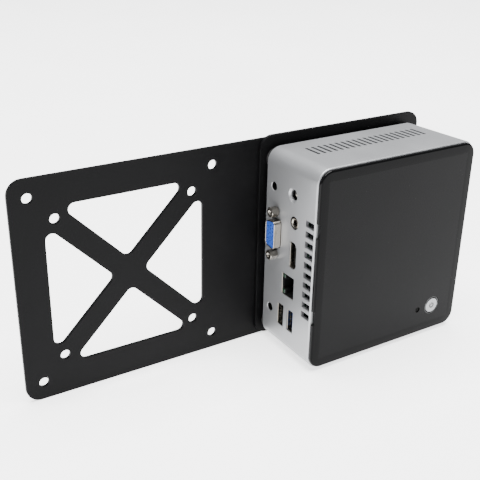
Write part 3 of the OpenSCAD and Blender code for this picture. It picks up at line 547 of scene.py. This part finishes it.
POWER, AUDIO, VGA = port("power_inlet"), port("audio_socket"), port("vga_connector")
VIDEO, LAN = port("video_socket"), port("network_socket")
USB_LOW, USB_HIGH = port("usb_socket_low"), port("usb_socket_high")
USB_REAR = (USB_LOW, USB_HIGH)
USB_FRONT = (port("front_usb_a"), port("front_usb_b"))
INSERTS = (port("rear_insert_bottom"), port("rear_insert_top"))
HEADSET, IR = port("headset_socket"), (28, 24)
VGA_NUTS = ((VGA[0] - 12.5, VGA[1]), (VGA[0] + 12.5, VGA[1]))
BUTTON, LIGHT = on_lid("power_ring"), on_lid("drive_light")
FRONT_PANEL = (0, 24)
FACE = -53.9
FRONT_FACE = wall_x(14)
INSERT_R, INLET_R = 2.4, 2.9
RING_R = (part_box("power_ring")[1][0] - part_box("power_ring")[0][0]) / 2 / MM

vga_corners = ((-8.45, 4.15), (-7, -4.15), (7, -4.15), (8.45, 4.15))
video_corners = ((-7.3, -2.75), (7.3, -2.75), (7.3, 1.2), (5.4, 2.75), (-5.4, 2.75), (-7.3, 1.2))
lan_corners = ((-5.9, -2.4), (-3.1, -2.4), (-3.1, -4.6), (3.1, -4.6), (3.1, -2.4), (5.9, -2.4),
               (5.9, 4.8), (-5.9, 4.8))
vga_outline = rounded([(VGA[0] + x, VGA[1] + y) for x, y in vga_corners], 2)
video_outline = rounded([(VIDEO[0] + x, VIDEO[1] + y) for x, y in video_corners], 0.5, 5)
lan_outline = rounded([(LAN[0] + x, LAN[1] + y) for x, y in lan_corners], 0.3, 3)


def cone(x, y, r0, z0, r1, z1):
    return moved(lathe([(0, z0), (r0, z0), (r1, z1), (0, z1)]), x, y)


def shell_skin():
    length, width = BASE
    outer = [(length - 0.8, width - 0.8, BASE_R - 0.4, 0),
             (length - 0.25, width - 0.25, BASE_R - 0.12, 0.12), (length, width, BASE_R, 0.4)]
    for k in range(1, 6):
        t = k / 6
        outer.append((length + 2 * LEAN_END * t, width + 2 * LEAN_SIDE * t, BASE_R + LEAN_R * t,
                      0.4 + (RIM - 0.4) * t))
    for k in range(9):
        t = math.pi / 2 * k / 8
        inset = 0.7 * (1 - math.cos(t))
        outer.append((TOP[0] - 2 * inset, TOP[1] - 2 * inset, TOP_R - inset, RIM + RIM_R * math.sin(t)))
    rise = 2 * HEIGHT / RIM
    bore = (length - 2 * WALL, width - 2 * WALL)
    inner = [(bore[0] + LEAN_END * rise, bore[1] + LEAN_SIDE * rise, INNER_TOP_R, HEIGHT),
             (*bore, INNER_BASE_R, 0)]
    points, rings = loft(outer + inner)
    return points, band(rings, closed=True)


def vent_row(vent, corner, steps, depth):
    half = (vent["count"] - 1) / 2
    places = [(i - half) * vent["pitch"] + VENT_SHIFT for i in range(vent["count"])]
    return [bar(rect(x, vent["height"], *vent["size"], corner, steps), *depth) for x in places]


def panel_openings():
    cuts = [grown(vga_outline, 0.35), grown(video_outline, 0.5), rect(*LAN, 13.2, 11.7, 0.15, 2)]
    cuts += [rect(*p, 13.3, 5.9, 0.6, 5) for p in USB_REAR]
    cuts += [circle(*AUDIO, 3.7), circle(*POWER, INLET_R)] + [circle(*p, 1.8) for p in VGA_NUTS]
    cuts += [circle(*p, INSERT_R) for p in INSERTS]
    ports = [bar(loop, *THROUGH_PORTS) for loop in cuts]
    front = bar(rect(*FRONT_PANEL, 84, 20, 0.4, 3), *THROUGH_FRONT)
    return joined(*vent_row(REAR_VENT, 0.6, 4, THROUGH_PORTS), *ports, front)


def dish(p, r_out, r_in):
    """A cutter that narrows at 45 degrees from r_out at the panel's outside to r_in."""
    face = -wall_x(p[1])
    return cone(*p, r_out + 1, face - 1, r_in, face + r_out - r_in)


def side_openings():
    loops = [rect(*side_slot("card_slot"), 25, 2.8, 0.3, 3), rect(*side_slot("lock_slot"), 7, 3, 0.6, 3)]
    slots = [bar(loop, *THROUGH_SLOTS) for loop in loops]
    return joined(*vent_row(SIDE_VENT, 0.89, 5, THROUGH_SIDES), *slots)


def shell_posts():
    """Four posts, each with its outer corner round and a bore for a cover screw."""
    parts = []
    for sx in (-1, 1):
        for sy in (-1, 1):
            x, y = sorted(sx * v for v in POST_X), sorted(sy * v for v in POST_Y)
            corners = [(x[0], y[0]), (x[1], y[0]), (x[1], y[1]), (x[0], y[1])]
            outer = (POST_X[1], POST_Y[1])
            radii = [5.2 if (abs(cx), abs(cy)) == outer else 0.5 for cx, cy in corners]
            bore = circle(sx * POST_BORE[0], sy * POST_BORE[1], 1.25, 24)
            parts.append(prism(rounded(corners, radii, 6), [bore], 1.8, POST_TOP, (0.1, 0.1)))
    return joined(*parts)


shell = make("chassis", shell_skin())
cut(shell, panel_openings(), PORTS)
cut(shell, side_openings(), SIDES)
cut(shell, joined(dish(POWER, 4.0, INLET_R), *[dish(p, 2.75, INSERT_R) for p in INSERTS]), PORTS)
soften(shell, 0.13)
piece("chassis", shell, None, "silver_plastic", ["chassis_shell"], angle=BEVEL_ANGLE)
piece("chassis_posts", shell_posts(), FLAT, "silver_plastic")

# ---------- lid ----------

LID_INSET, LID_R, LID_T = 0.75, 7.45, 1.9
# How far in from the lid's outer edge the painted shade and the painted highlight reach.
PAINTED_BAND = 6.2


def lid_skin():
    length, width = TOP[0] - 2 * LID_INSET, TOP[1] - 2 * LID_INSET
    sections = [(length - 0.5, width - 0.5, LID_R - 0.25, HEIGHT),
                (length - 0.12, width - 0.12, LID_R - 0.06, HEIGHT + 0.06),
                (length, width, LID_R, HEIGHT + 0.25)]
    for k in range(11):
        t = math.pi / 2 * k / 10
        inset = 1.5 * (1 - math.cos(t)) ** 1.15
        height = HEIGHT + 0.85 + 0.88 * math.sin(t) ** 0.9
        sections.append((length - 2 * inset, width - 2 * inset, LID_R - inset, height))
    for k in range(1, 9):
        t = k / 8
        inset = 1.5 + 4.2 * t
        height = HEIGHT + 1.73 + 0.155 * math.sin(math.pi / 2 * t)
        sections.append((length - 2 * inset, width - 2 * inset, LID_R - 1.5 - 3.0 * t, height))
    sections.append((length - 12, width - 12, 2.8, HEIGHT + 1.885))
    return capped(*loft(sections, 12))


def drill(place, r):
    """A straight round cutter through the lid."""
    return cone(*place, r, 40, r, 60)


def lid_cuts():
    notches = [bar(rect(-58, s * 25.1, 9.9, 8, 0.5, 4), HEIGHT - 0.02, 60) for s in (-1, 1)]
    return joined(*notches, drill(BUTTON, RING_R + 0.05), drill(LIGHT, 1.65))


lid = make("lid_gloss", lid_skin())
cut(lid, lid_cuts())
soften(lid, 0.08, 50)
piece("lid_gloss", lid, None, "gloss_black", ["lid"], angle=BEVEL_ANGLE)
# The lid's border band carries painted light. Its flat faces take the darker gloss as painted shade, and
# its rounded edge and side faces take the more reflective gloss as a painted highlight.
for finish in ("gloss_painted_shade", "gloss_painted_highlight"):
    lid.data.materials.append(MATERIALS[finish])
for face in lid.data.polygons:
    u, v = abs(face.center.x / MM - PC[0]), abs(face.center.z / MM - PC[2])
    if u > TOP[0] / 2 - PAINTED_BAND or v > TOP[1] / 2 - PAINTED_BAND:
        face.material_index = 1 if face.normal.y < -0.9 else 2
rib = rect(0, 0, TOP[0] - 4.5, TOP[1] - 4.5, 5.95)
rib_wall = prism(rib, [grown(rib, -1.4)], HEIGHT - 2.4, HEIGHT + 0.02, (0.15, 0))
piece("lid_rib", rib_wall, FLAT, "black_plastic")

# ---------- bottom cover and feet ----------

cover_lo, cover_hi = (mm(c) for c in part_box("bottom_cover"))
cover_outline = rect(0, 0, cover_hi[0] - cover_lo[0], cover_hi[2] - cover_lo[2], 5.75)
cover_holes = [circle(*p, 1.7, 24) for p in FEET] + [circle(*p, 2.0, 32) for p in HANGERS]
hanger_boss = lathe([(3.4, 1.8), (3.4, 2.5), (3.2, 2.7), (2.1, 2.7), (2.0, 2.6), (2.0, 1.8)])
cover = joined(prism(cover_outline, cover_holes, 0, 1.8, (0.2, 0.1)), at_each(HANGERS, hanger_boss))
piece("cover_plate", cover, FLAT, "black_plastic", ["bottom_cover"], angle=PLATE_ANGLE)
foot = lathe([(5.6, -2.3), (5.6, 0), (3.2, 0), (3.2, -2.75), (3.35, -2.9), (5.0, -2.9), (5.35, -2.8),
              (5.55, -2.55)])
piece("rubber_feet", at_each(FEET, foot), FLAT, "foot_rubber", ["feet"])

# ---------- power button and light ----------

BUTTON_FACE = HEIGHT + LID_T - 0.05
CAP_R = RING_R - 1.0
STEM_BASE, FLANGE_BASE = 41.6, 43.9
stem = [(0, STEM_BASE), (1.8, STEM_BASE), (2.0, STEM_BASE + 0.2), (2.0, FLANGE_BASE)]
flange = [(RING_R + 0.6, FLANGE_BASE), (RING_R + 0.6, 44.5), (CAP_R - 0.6, 44.5), (CAP_R - 0.6, 46.0)]
crown = [(CAP_R, 46.0), (CAP_R, BUTTON_FACE - 0.42), (CAP_R - 0.05, BUTTON_FACE - 0.25),
         (CAP_R - 0.27, BUTTON_FACE - 0.06), (CAP_R - 0.5, BUTTON_FACE), (CAP_R - 0.7, BUTTON_FACE - 0.01),
         (CAP_R - 0.95, BUTTON_FACE - 0.07), (0, BUTTON_FACE - 0.09)]
cap = lathe(stem + flange + crown, 72)
piece("button_cap", moved(cap, *BUTTON), FLAT, "button_silver", ["power_button"], "button", 25)
ring = lathe([(RING_R, HEIGHT - 0.6), (RING_R, HEIGHT + 1.6), (RING_R - 0.15, HEIGHT + 1.75),
              (RING_R - 0.4, HEIGHT + 1.72), (RING_R - 0.54, HEIGHT + 1.55), (RING_R - 0.55, HEIGHT - 0.6)],
             72)
piece("button_surround", moved(ring, *BUTTON), FLAT, "ring_black", ["power_ring"])


def power_mark():
    """An open ring with a short bar in its gap."""
    turns = [math.radians(90 + 38 + 284 * i / 20) for i in range(21)]
    arc = [(1.8 * math.cos(a), 1.8 * math.sin(a)) for a in turns]
    arc += [(0.9 * math.cos(a), 0.9 * math.sin(a)) for a in turns[::-1]]
    return joined(*[prism(loop, [], BUTTON_FACE - 0.1, BUTTON_FACE - 0.04, (0, 0.01))
                    for loop in (arc, rect(0, 1.1, 0.55, 1.5, 0.1, 3))])


piece("button_mark", moved(power_mark(), *BUTTON), FLAT, "mark_dark", (), "button")
guide = lathe([(0, 38.2), (1.1, 38.2), (1.1, HEIGHT - 0.4), (1.6, HEIGHT - 0.4), (1.6, HEIGHT + 1.32),
               (1.5, HEIGHT + 1.4), (1.2, HEIGHT + 1.44), (0, HEIGHT + 1.46)])
piece("light_guide", moved(guide, *LIGHT), FLAT, "light_pipe", ["drive_light"])

# ---------- plates and fasteners ----------

PLATE_R, PLATE_SOFT = 8, (0.25, 0.25)
PLATE_T = long_hi[1] - long_lo[1]
LIFT = 8
HOLE_R, JOINT_HOLE_R = 2.6, 2.25
WINDOW_HALF, WINDOW_BAR, WINDOW_SHIFT = 43.4, 11.7, 0.6
WINDOW_AT = (0.45, 0.5)
ADAPTER = ((wide_lo[0] + wide_hi[0]) / 2, (wide_lo[2] + wide_hi[2]) / 2)
joints_at = [(ADAPTER[0] + sx * 37.5, ADAPTER[1] + sz * 37.5) for sx in (-1, 1) for sz in (-1, 1)]
keyholes = [(PC[0] + u, PC[2] + v) for u, v in HANGERS]


def window(angle):
    """One of the four windows between the crossed bars, turned round the middle of the pattern."""
    tip = WINDOW_BAR / math.sqrt(2)
    base = WINDOW_HALF - tip
    c, s = math.cos(angle), math.sin(angle)
    shift = WINDOW_SHIFT
    corners = ((-base - shift, WINDOW_HALF), (-shift, tip), (base - shift, WINDOW_HALF))
    turned = [(x * c - y * s + WINDOW_AT[0], x * s + y * c + WINDOW_AT[1]) for x, y in corners]
    return rounded(turned, [3.35, 3.5, 3.35], 10)


def long_plate():
    size = (long_hi[0] - long_lo[0], long_hi[2] - long_lo[2])
    outline = rect((long_lo[0] + long_hi[0]) / 2, 0, *size, PLATE_R, 14)
    holes = [circle(sx * r, sz * r, HOLE_R, 36) for r in (50, 37.5) for sx in (-1, 1) for sz in (-1, 1)]
    holes += [window(math.pi / 2 * k) for k in range(4)] + [circle(*p, JOINT_HOLE_R, 36) for p in joints_at]
    holes += [slot_up(*p, 5.2, LIFT) for p in keyholes]
    return prism(outline, holes, 0, PLATE_T, PLATE_SOFT)


def square_plate():
    outline = rect(*ADAPTER, wide_hi[0] - wide_lo[0], wide_hi[2] - wide_lo[2], PLATE_R, 14)
    holes = [circle(*p, JOINT_HOLE_R, 36) for p in joints_at]
    holes += [keyhole(*p, 4.7, 2.4, LIFT) for p in keyholes]
    return prism(outline, holes, PLATE_T, 2 * PLATE_T, PLATE_SOFT)


def joining_screw():
    head = lathe([(0, 2.3), (2, 2.3), (3.55, 3.72), (3.55, 3.95), (1.5, 3.95), (1.3, 3.0), (0, 2.85)])
    return joined(thread(2.0, -4.2, 2.3), head)


def hanger():
    head = prism(circle(0, 0, 4), [hexagon(1.5)], -6.8, -5.7, (0.35, 0), 5)
    rest = lathe([(0, -5.7), (4, -5.7), (4, -5.25), (3.85, -5.1), (2.2, -5.1), (2.2, -2.9), (3.05, -2.9),
                  (3.2, -2.75), (3.2, 0), (1.95, 0), (1.95, 2.4), (1.75, 2.6), (0, 2.6)])
    return joined(head, rest)


piece("long_plate", long_plate(), PLATE, "powder_coat", ["extension_plate"], "bracket", PLATE_ANGLE)
piece("square_plate", square_plate(), PLATE, "powder_coat", ["adapter_plate"], "bracket", PLATE_ANGLE)
joining_screws = at_each(joints_at, joining_screw())
piece("joining_screws", joining_screws, PLATE, "dark_steel", ["plate_screws"], "bracket")
joining_nuts = at_each(joints_at, nut(7.0, 3.2, 2.02), -3.2)
piece("joining_nuts", joining_nuts, PLATE, "zinc_steel", ["plate_nuts"], "bracket", NUT_ANGLE)
piece("hanging_screws", at_each(HANGERS, hanger()), FLAT, "zinc_steel", ["hanger_screws"])

# ---------- port panel: screw holes ----------


def insert():
    threads = [(1.27 if k % 2 else 1.5, -46.75 - 0.25 * k) for k in range(13)]
    return lathe([(0, -46.7), (1.4, -46.7), *threads, (1.7, -50.2), (2.7, -50.2), (2.8, -50.1),
                  (2.8, -46.3), (2.7, -46.2), (0, -46.2)])


def insert_boss(face):
    """The dark seat round an insert, with a near-black sleeve over the panel's silver hole wall: painted
    shade that keeps the hole dark.
    """
    shade_sleeve = face + 0.45
    return lathe([(4.0, -51.6), (4.0, -45.9), (3.9, -45.8), (2.85, -45.8), (2.85, -50.4), (2.1, -50.5),
                  (2.1, shade_sleeve), (INSERT_R - 0.02, shade_sleeve), (INSERT_R - 0.02, -51.7), (3.9, -51.7)])


piece("thread_inserts", at_each(INSERTS, insert()), PORTS, "insert_brass", ["rear_inserts"])
# The seats are dark plastic. Their sleeves are painted shade inside the panel's screw holes.
bosses = joined(*[moved(insert_boss(-wall_x(p[1])), *p) for p in INSERTS])
piece("insert_bosses", bosses, PORTS, "port_black")

# ---------- port panel: display connector ----------

FLANGE = -51.3


def d_tube():
    inner = grown(vga_outline, -0.45)
    tube = prism(vga_outline, [inner], -58.6, FLANGE, (0.2, 0))
    screw_holes = [circle(*p, 1.6, 32) for p in VGA_NUTS]
    flange = prism(rect(*VGA, 30.8, 12.5, 1.5), [inner] + screw_holes, FLANGE, FLANGE + 0.8, (0, 0.1))
    flare = []
    for k in range(5):
        t = math.pi / 2 * k / 4
        flare.append((FLANGE - 1.3 * (1 - math.sin(t)), 0.6 * (1 - math.cos(t))))
    points, rings = [], []
    for z, g in flare + [(FLANGE, -0.1), (FLANGE - 1.3, -0.1)]:
        rings.append(range(len(points), len(points) + len(vga_outline)))
        points += [(x, y, z) for x, y in grown(vga_outline, g)]
    return joined(tube, flange, (points, band(rings, closed=True)))


def pin_places():
    """Three rows of five, the outer rows set sideways."""
    return [(VGA[0] + 2.29 * i + (0.6 if row == 0 else -0.5), VGA[1] + 2.1 * row)
            for row in (-1, 0, 1) for i in range(-2, 3)]


def jack_nut():
    stud = lathe([(0, -54.3), (1.5, -54.3), (1.5, -47.4), (1.3, -47.3), (0, -47.3)], 32)
    return joined(moved(nut(5.02, 4.7, 1.15, 0.6, 1.0), 0, 0, -59), stud)


piece("display_shell", d_tube(), PORTS, "nickel_plate", ["vga_shell"])
body_loop = grown(vga_outline, -0.5)
pin_holes = [circle(*p, 0.5, 20) for p in pin_places()]
display_face = prism(body_loop, pin_holes, -58.3, -54.3, (0.15, 0))
piece("display_face", display_face, PORTS, "connector_blue", ["vga_insert"])
piece("display_block", prism(body_loop, [], -54.29, -37.7, (0, 0.2)), PORTS, "black_plastic")
pin_socket = lathe([(0.5, -57.2), (0.5, -54.3), (0.3, -54.3), (0.3, -57.2)], 16)
piece("display_pin_sockets", at_each(pin_places(), pin_socket), PORTS, "insert_brass")
piece("display_nuts", at_each(VGA_NUTS, jack_nut()), PORTS, "nickel_plate", ["vga_nuts"], angle=NUT_ANGLE)

# ---------- port panel: video socket ----------


def video_tongue():
    x, y = VIDEO
    return joined(block((x - 5.6, x + 5.6), (y - 0.35, y + 0.75), (-52.6, -42)),
                  block((x - 6.8, x + 6.8), (y - 2.6, y + 1.0), (-46, -42)))


def video_contacts():
    x, y = VIDEO
    return joined(*[block((x - 4.7 + i, x - 4.3 + i), (y + low, y + low + 0.25), (-52.5, -46.5), 0.02)
                    for i in range(10) for low in (-0.52, 0.67)])


video_frame = prism(grown(video_outline, 0.35), [video_outline], FACE, FACE + 13, (0.12, 0.05))
piece("video_frame", video_frame, PORTS, "nickel_plate", ["video_port"])
piece("video_tongue_body", video_tongue(), PORTS, "port_black", ["video_tongue"])
piece("video_contacts", video_contacts(), PORTS, "nickel_plate")

# ---------- port panel: network socket ----------

LAN_FRONT, LAN_BACK, LAN_END = -51.8, -40.2, -32
lamps = [rect(LAN[0] + s * 4.7, LAN[1] - 3.9, 2.5, 2.1, 0.25, 3) for s in (-1, 1)]
lan_mouth = rect(*LAN, 12.2, 10.7, 0.3, 4)
lan_box = rect(LAN[0], 23.275, 16, 14.15, 0.4, 4)
lan_bezel = prism(grown(lan_mouth, -0.02), [lan_outline] + lamps, FACE + 0.25, LAN_FRONT - 0.01, (0.1, 0))
piece("lan_bezel", lan_bezel, PORTS, "port_black")
lan_shield = joined(prism(rect(*LAN, 13, 11.5, 0.4, 4), [lan_mouth], FACE, LAN_FRONT, (0.15, 0)),
                    prism(lan_box, [lan_outline], LAN_FRONT, LAN_BACK, (0, 0)),
                    prism(lan_box, [], LAN_BACK + 0.01, LAN_END, (0, 0.2)))
piece("lan_shield", lan_shield, PORTS, "nickel_plate", ["lan_jack"])
lan_lining = prism(grown(lan_outline, -0.02), [grown(lan_outline, -0.22)], -53.4, LAN_BACK - 0.1,
                   (0.03, 0.0))
piece("lan_lining", lan_lining, PORTS, "port_black")
lan_back = bar(grown(lan_outline, -0.24), LAN_BACK - 0.7, LAN_BACK - 0.1)
piece("lan_back", lan_back, PORTS, "port_black")
lan_lamps = joined(*[prism(grown(loop, -0.06), [], FACE + 0.1, -50.3, (0.25, 0.1)) for loop in lamps])
piece("lan_lamps", lan_lamps, PORTS, "light_green", ["lan_lights"])


def springs():
    """Eight wires that lean into the socket."""
    bends = ((4.35, -40.4), (4.35, -49.4), (4.2, -50.0), (3.8, -50.05), (2.8, -45.2), (2.65, -44.6))
    path = [(LAN[1] + h, c) for h, c in bends]
    parts = []
    for i in range(8):
        x = LAN[0] - 3.57 + 1.02 * i
        points, rings = [], []
        for k, (y, c) in enumerate(path):
            rings.append(range(len(points), len(points) + 4))
            before, after = path[max(k - 1, 0)], path[min(k + 1, len(path) - 1)]
            d = Vector((after[0] - before[0], after[1] - before[1])).normalized() * 0.16
            points += [(x - 0.18, y - d.y, c + d.x), (x + 0.18, y - d.y, c + d.x),
                       (x + 0.18, y + d.y, c - d.x), (x - 0.18, y + d.y, c - d.x)]
        parts.append(capped(points, rings))
    return joined(*parts)


piece("lan_springs", springs(), PORTS, "insert_brass", ["lan_contacts"])

# ---------- serial ports ----------

USB_COLLAR, USB_HOLE = (13.1, 5.7, 0.6, 5), (12.4, 5.0, 0.4, 4)
USB_FRONT_BACK = 38


def usb_collar(p, z0, z1, soft):
    return prism(rect(*p, *USB_COLLAR), [rect(*p, *USB_HOLE)], z0, z1, soft)


def usb_shields():
    box = rect(USB_LOW[0], 22.175, 14.4, 16.35, 0.4, 4)
    parts = [usb_collar(p, FACE, -51.9, (0.18, 0)) for p in USB_REAR]
    parts += [prism(box, [rect(*p, *USB_HOLE) for p in USB_REAR], -51.9, -37.5, (0.1, 0))]
    parts += [prism(box, [], -37.49, -36, (0, 0.1))]
    parts += [usb_collar(p, USB_FRONT_BACK, FRONT_FACE - 0.5, (0, 0.18)) for p in USB_FRONT]
    parts += [prism(rect(*p, *USB_COLLAR), [], USB_FRONT_BACK - 1, USB_FRONT_BACK - 0.01, (0.1, 0))
              for p in USB_FRONT]
    return joined(*parts)


def usb_tongue(p, z0, z1):
    return block((p[0] - 5.6, p[0] + 5.6), (p[1] + 0.4, p[1] + 2.2), (z0, z1), 0.2)


def usb_contacts(p, bottom, z0, z1):
    """Four flat contacts; bottom is how far their lower faces are above the socket's middle."""
    height = (p[1] + bottom, p[1] + bottom + 0.13)
    return joined(*[block((p[0] + x - 0.5, p[0] + x + 0.5), height, (z0, z1), 0.03)
                    for x in (-3.5, -1.2, 1.2, 3.5)])


piece("usb_shields", usb_shields(), PORTS, "nickel_plate", ["usb_cans"])
piece("usb_tongue_low", usb_tongue(USB_LOW, -52.8, -37.55), PORTS, "port_black")
piece("usb_tongue_high", usb_tongue(USB_HIGH, -52.8, -37.55), PORTS, "connector_blue", ["usb_tongues"])
front_tongues = joined(*[usb_tongue((x, y - 0.1), USB_FRONT_BACK + 0.05, 52.6) for x, y in USB_FRONT])
piece("usb_tongue_front", front_tongues, PORTS, "connector_blue")
contacts = [usb_contacts(p, 0.32, -52.2, -44) for p in USB_REAR]
contacts += [usb_contacts(p, 0.22, 44, 52) for p in USB_FRONT]
piece("usb_contacts", joined(*contacts), PORTS, "nickel_plate")

# ---------- port panel: power inlet and audio socket ----------

jack_block = rect(POWER[0], 24.925, 9, 10.85, 0.4, 4)
inlet_body = joined(prism(jack_block, [circle(*POWER, INLET_R - 0.1)], -51.9, -42, (0.2, 0)),
                    prism(jack_block, [], -41.99, -38, (0, 0.2)))
piece("inlet_body", inlet_body, PORTS, "port_black", ["power_jack"])
pin = lathe([(0, -52.4), (0.55, -52.35), (0.95, -52.05), (1.1, -51.6), (1.1, -42.01), (0, -42.01)], 32)
piece("inlet_pin", moved(pin, *POWER), PORTS, "nickel_plate")

SOCKET_R = 1.8
audio_ring = lathe([(3.1, -53.95), (3.1, -51.0), (SOCKET_R, -51.0), (SOCKET_R, -53.75), (2.2, -54.12),
                    (2.4, -54.2), (2.85, -54.2)])
piece("audio_ring", moved(audio_ring, *AUDIO), PORTS, "nickel_plate", ["audio_jack"])
audio_box = rect(AUDIO[0], 26.875, 6.8, 6.95, 0.4, 4)
audio_face = 0.25 - wall_x(AUDIO[1])
audio_washer = prism(circle(*AUDIO, 3.66), [circle(*AUDIO, 3.12)], audio_face, -51.1, (0.1, 0.1))
audio_body = joined(prism(audio_box, [circle(*AUDIO, SOCKET_R)], -50.99, -38.5, (0.1, 0.1)), audio_washer)
piece("audio_body", audio_body, PORTS, "port_black")

# ---------- front panel ----------

panel_holes = [rect(*p, 13.4, 6.0, 0.7, 5) for p in USB_FRONT]
panel_holes += [circle(*HEADSET, 3.3), rect(*IR, 14, 8, 0.8, 5)]
sheet_loop, lip_loop = rect(*FRONT_PANEL, 83.7, 19.7, 0.5, 4), rect(*FRONT_PANEL, 86.4, 22.4, 1, 4)
front_panel = joined(prism(sheet_loop, panel_holes, FRONT_FACE - 2.1, FRONT_FACE - 0.1, (0, 0.2)),
                     prism(lip_loop, panel_holes, FRONT_FACE - 3.2, FRONT_FACE - 2.11, (0.1, 0.1)))
piece("front_gloss", front_panel, PORTS, "gloss_black", ["front_panel"], angle=PLATE_ANGLE)
receiver = prism(rect(*IR, 13.8, 7.8, 0.7, 5), [], FRONT_FACE - 3, FRONT_FACE - 0.2, (0.1, 0.3))
piece("receiver_window", receiver, PORTS, "ir_filter", ["ir_window"])
headset_ring = lathe([(3.1, 50.2), (3.1, 53.4), (2.9, 53.6), (2.2, 53.6), (SOCKET_R, 53.3),
                      (SOCKET_R, 50.2)])
piece("headset_ring", moved(headset_ring, *HEADSET), PORTS, "nickel_plate", ["headset_jack"])
headset_box = rect(HEADSET[0], 26.8, 6.4, 7.2, 0.4, 4)
headset_body = prism(headset_box, [circle(*HEADSET, SOCKET_R)], 39, 50.19, (0.1, 0.1))
piece("headset_body", headset_body, PORTS, "black_plastic")

# ---------- camera ----------


def camera_matrix(place, azimuth, elevation, roll):
    a, e, r = (math.radians(x) for x in (azimuth, elevation, roll))
    back = Vector((math.sin(a) * math.cos(e), -math.cos(a) * math.cos(e), math.sin(e)))
    right = (-back).cross(Vector((0, 0, 1))).normalized()
    up = right.cross(-back)
    x = right * math.cos(r) + up * math.sin(r)
    y = -right * math.sin(r) + up * math.cos(r)
    return Matrix(((x.x, y.x, back.x, place[0]), (x.y, y.y, back.y, place[1]), (x.z, y.z, back.z, place[2]),
                   (0, 0, 0, 1)))


cam_data = bpy.data.cameras.new("camera")
cam_data.lens = 62.51
cam_data.sensor_width = 36
cam_data.shift_x = -0.0140
cam_data.shift_y = 0.0418
cam_data.clip_start = 0.01
camera = bpy.data.objects.new("camera", cam_data)
bpy.context.scene.collection.objects.link(camera)
bpy.context.scene.camera = camera
CAMERA_PLACE = (-0.165298, -0.357258, 0.188442)
camera.matrix_world = camera_matrix(CAMERA_PLACE, azimuth=-33.819, elevation=24.908, roll=1.332)

# ---------- light and floor ----------

LIGHT_SIZE, LIGHT_POWER = 2.4, 300
LIGHT_PLACE, LIGHT_AIM = Vector((0.1, -0.1, 2.4)), Vector((0.1, 0, 0))
lamp = bpy.data.lights.new("key", "AREA")
lamp.shape = "SQUARE"
lamp.size = LIGHT_SIZE
lamp.energy = LIGHT_POWER
key = bpy.data.objects.new("key", lamp)
bpy.context.scene.collection.objects.link(key)
key.location = LIGHT_PLACE
key.rotation_euler = (LIGHT_AIM - LIGHT_PLACE).to_track_quat("-Z", "Y").to_euler()

world = bpy.data.worlds.new("studio")
bpy.context.scene.world = world
world.use_nodes = True
world.node_tree.nodes["Background"].inputs["Color"].default_value = (0.95, 0.97, 1.0, 1)
world.node_tree.nodes["Background"].inputs["Strength"].default_value = 0.38

FLOOR_HALF = 4
floor_z = cad_bounds[0][2]
floor_mesh = bpy.data.meshes.new("floor")
corners = [(sx * FLOOR_HALF, sy * FLOOR_HALF, floor_z) for sx, sy in ((-1, -1), (1, -1), (1, 1), (-1, 1))]
floor_mesh.from_pydata(corners, [], [(0, 1, 2, 3)])
floor = bpy.data.objects.new("floor", floor_mesh)
bpy.context.scene.collection.objects.link(floor)
pale = material("pale_floor", (0.86, 0.86, 0.86), (0.9, 0.9, 0.9), (0.7, 0.8), grain=300, bump=0.02,
                patch=6)
pale.node_tree.nodes["Principled BSDF"].inputs["Emission Color"].default_value = (1, 1, 1, 1)
pale.node_tree.nodes["Principled BSDF"].inputs["Emission Strength"].default_value = 1.8
floor_mesh.materials.append(pale)
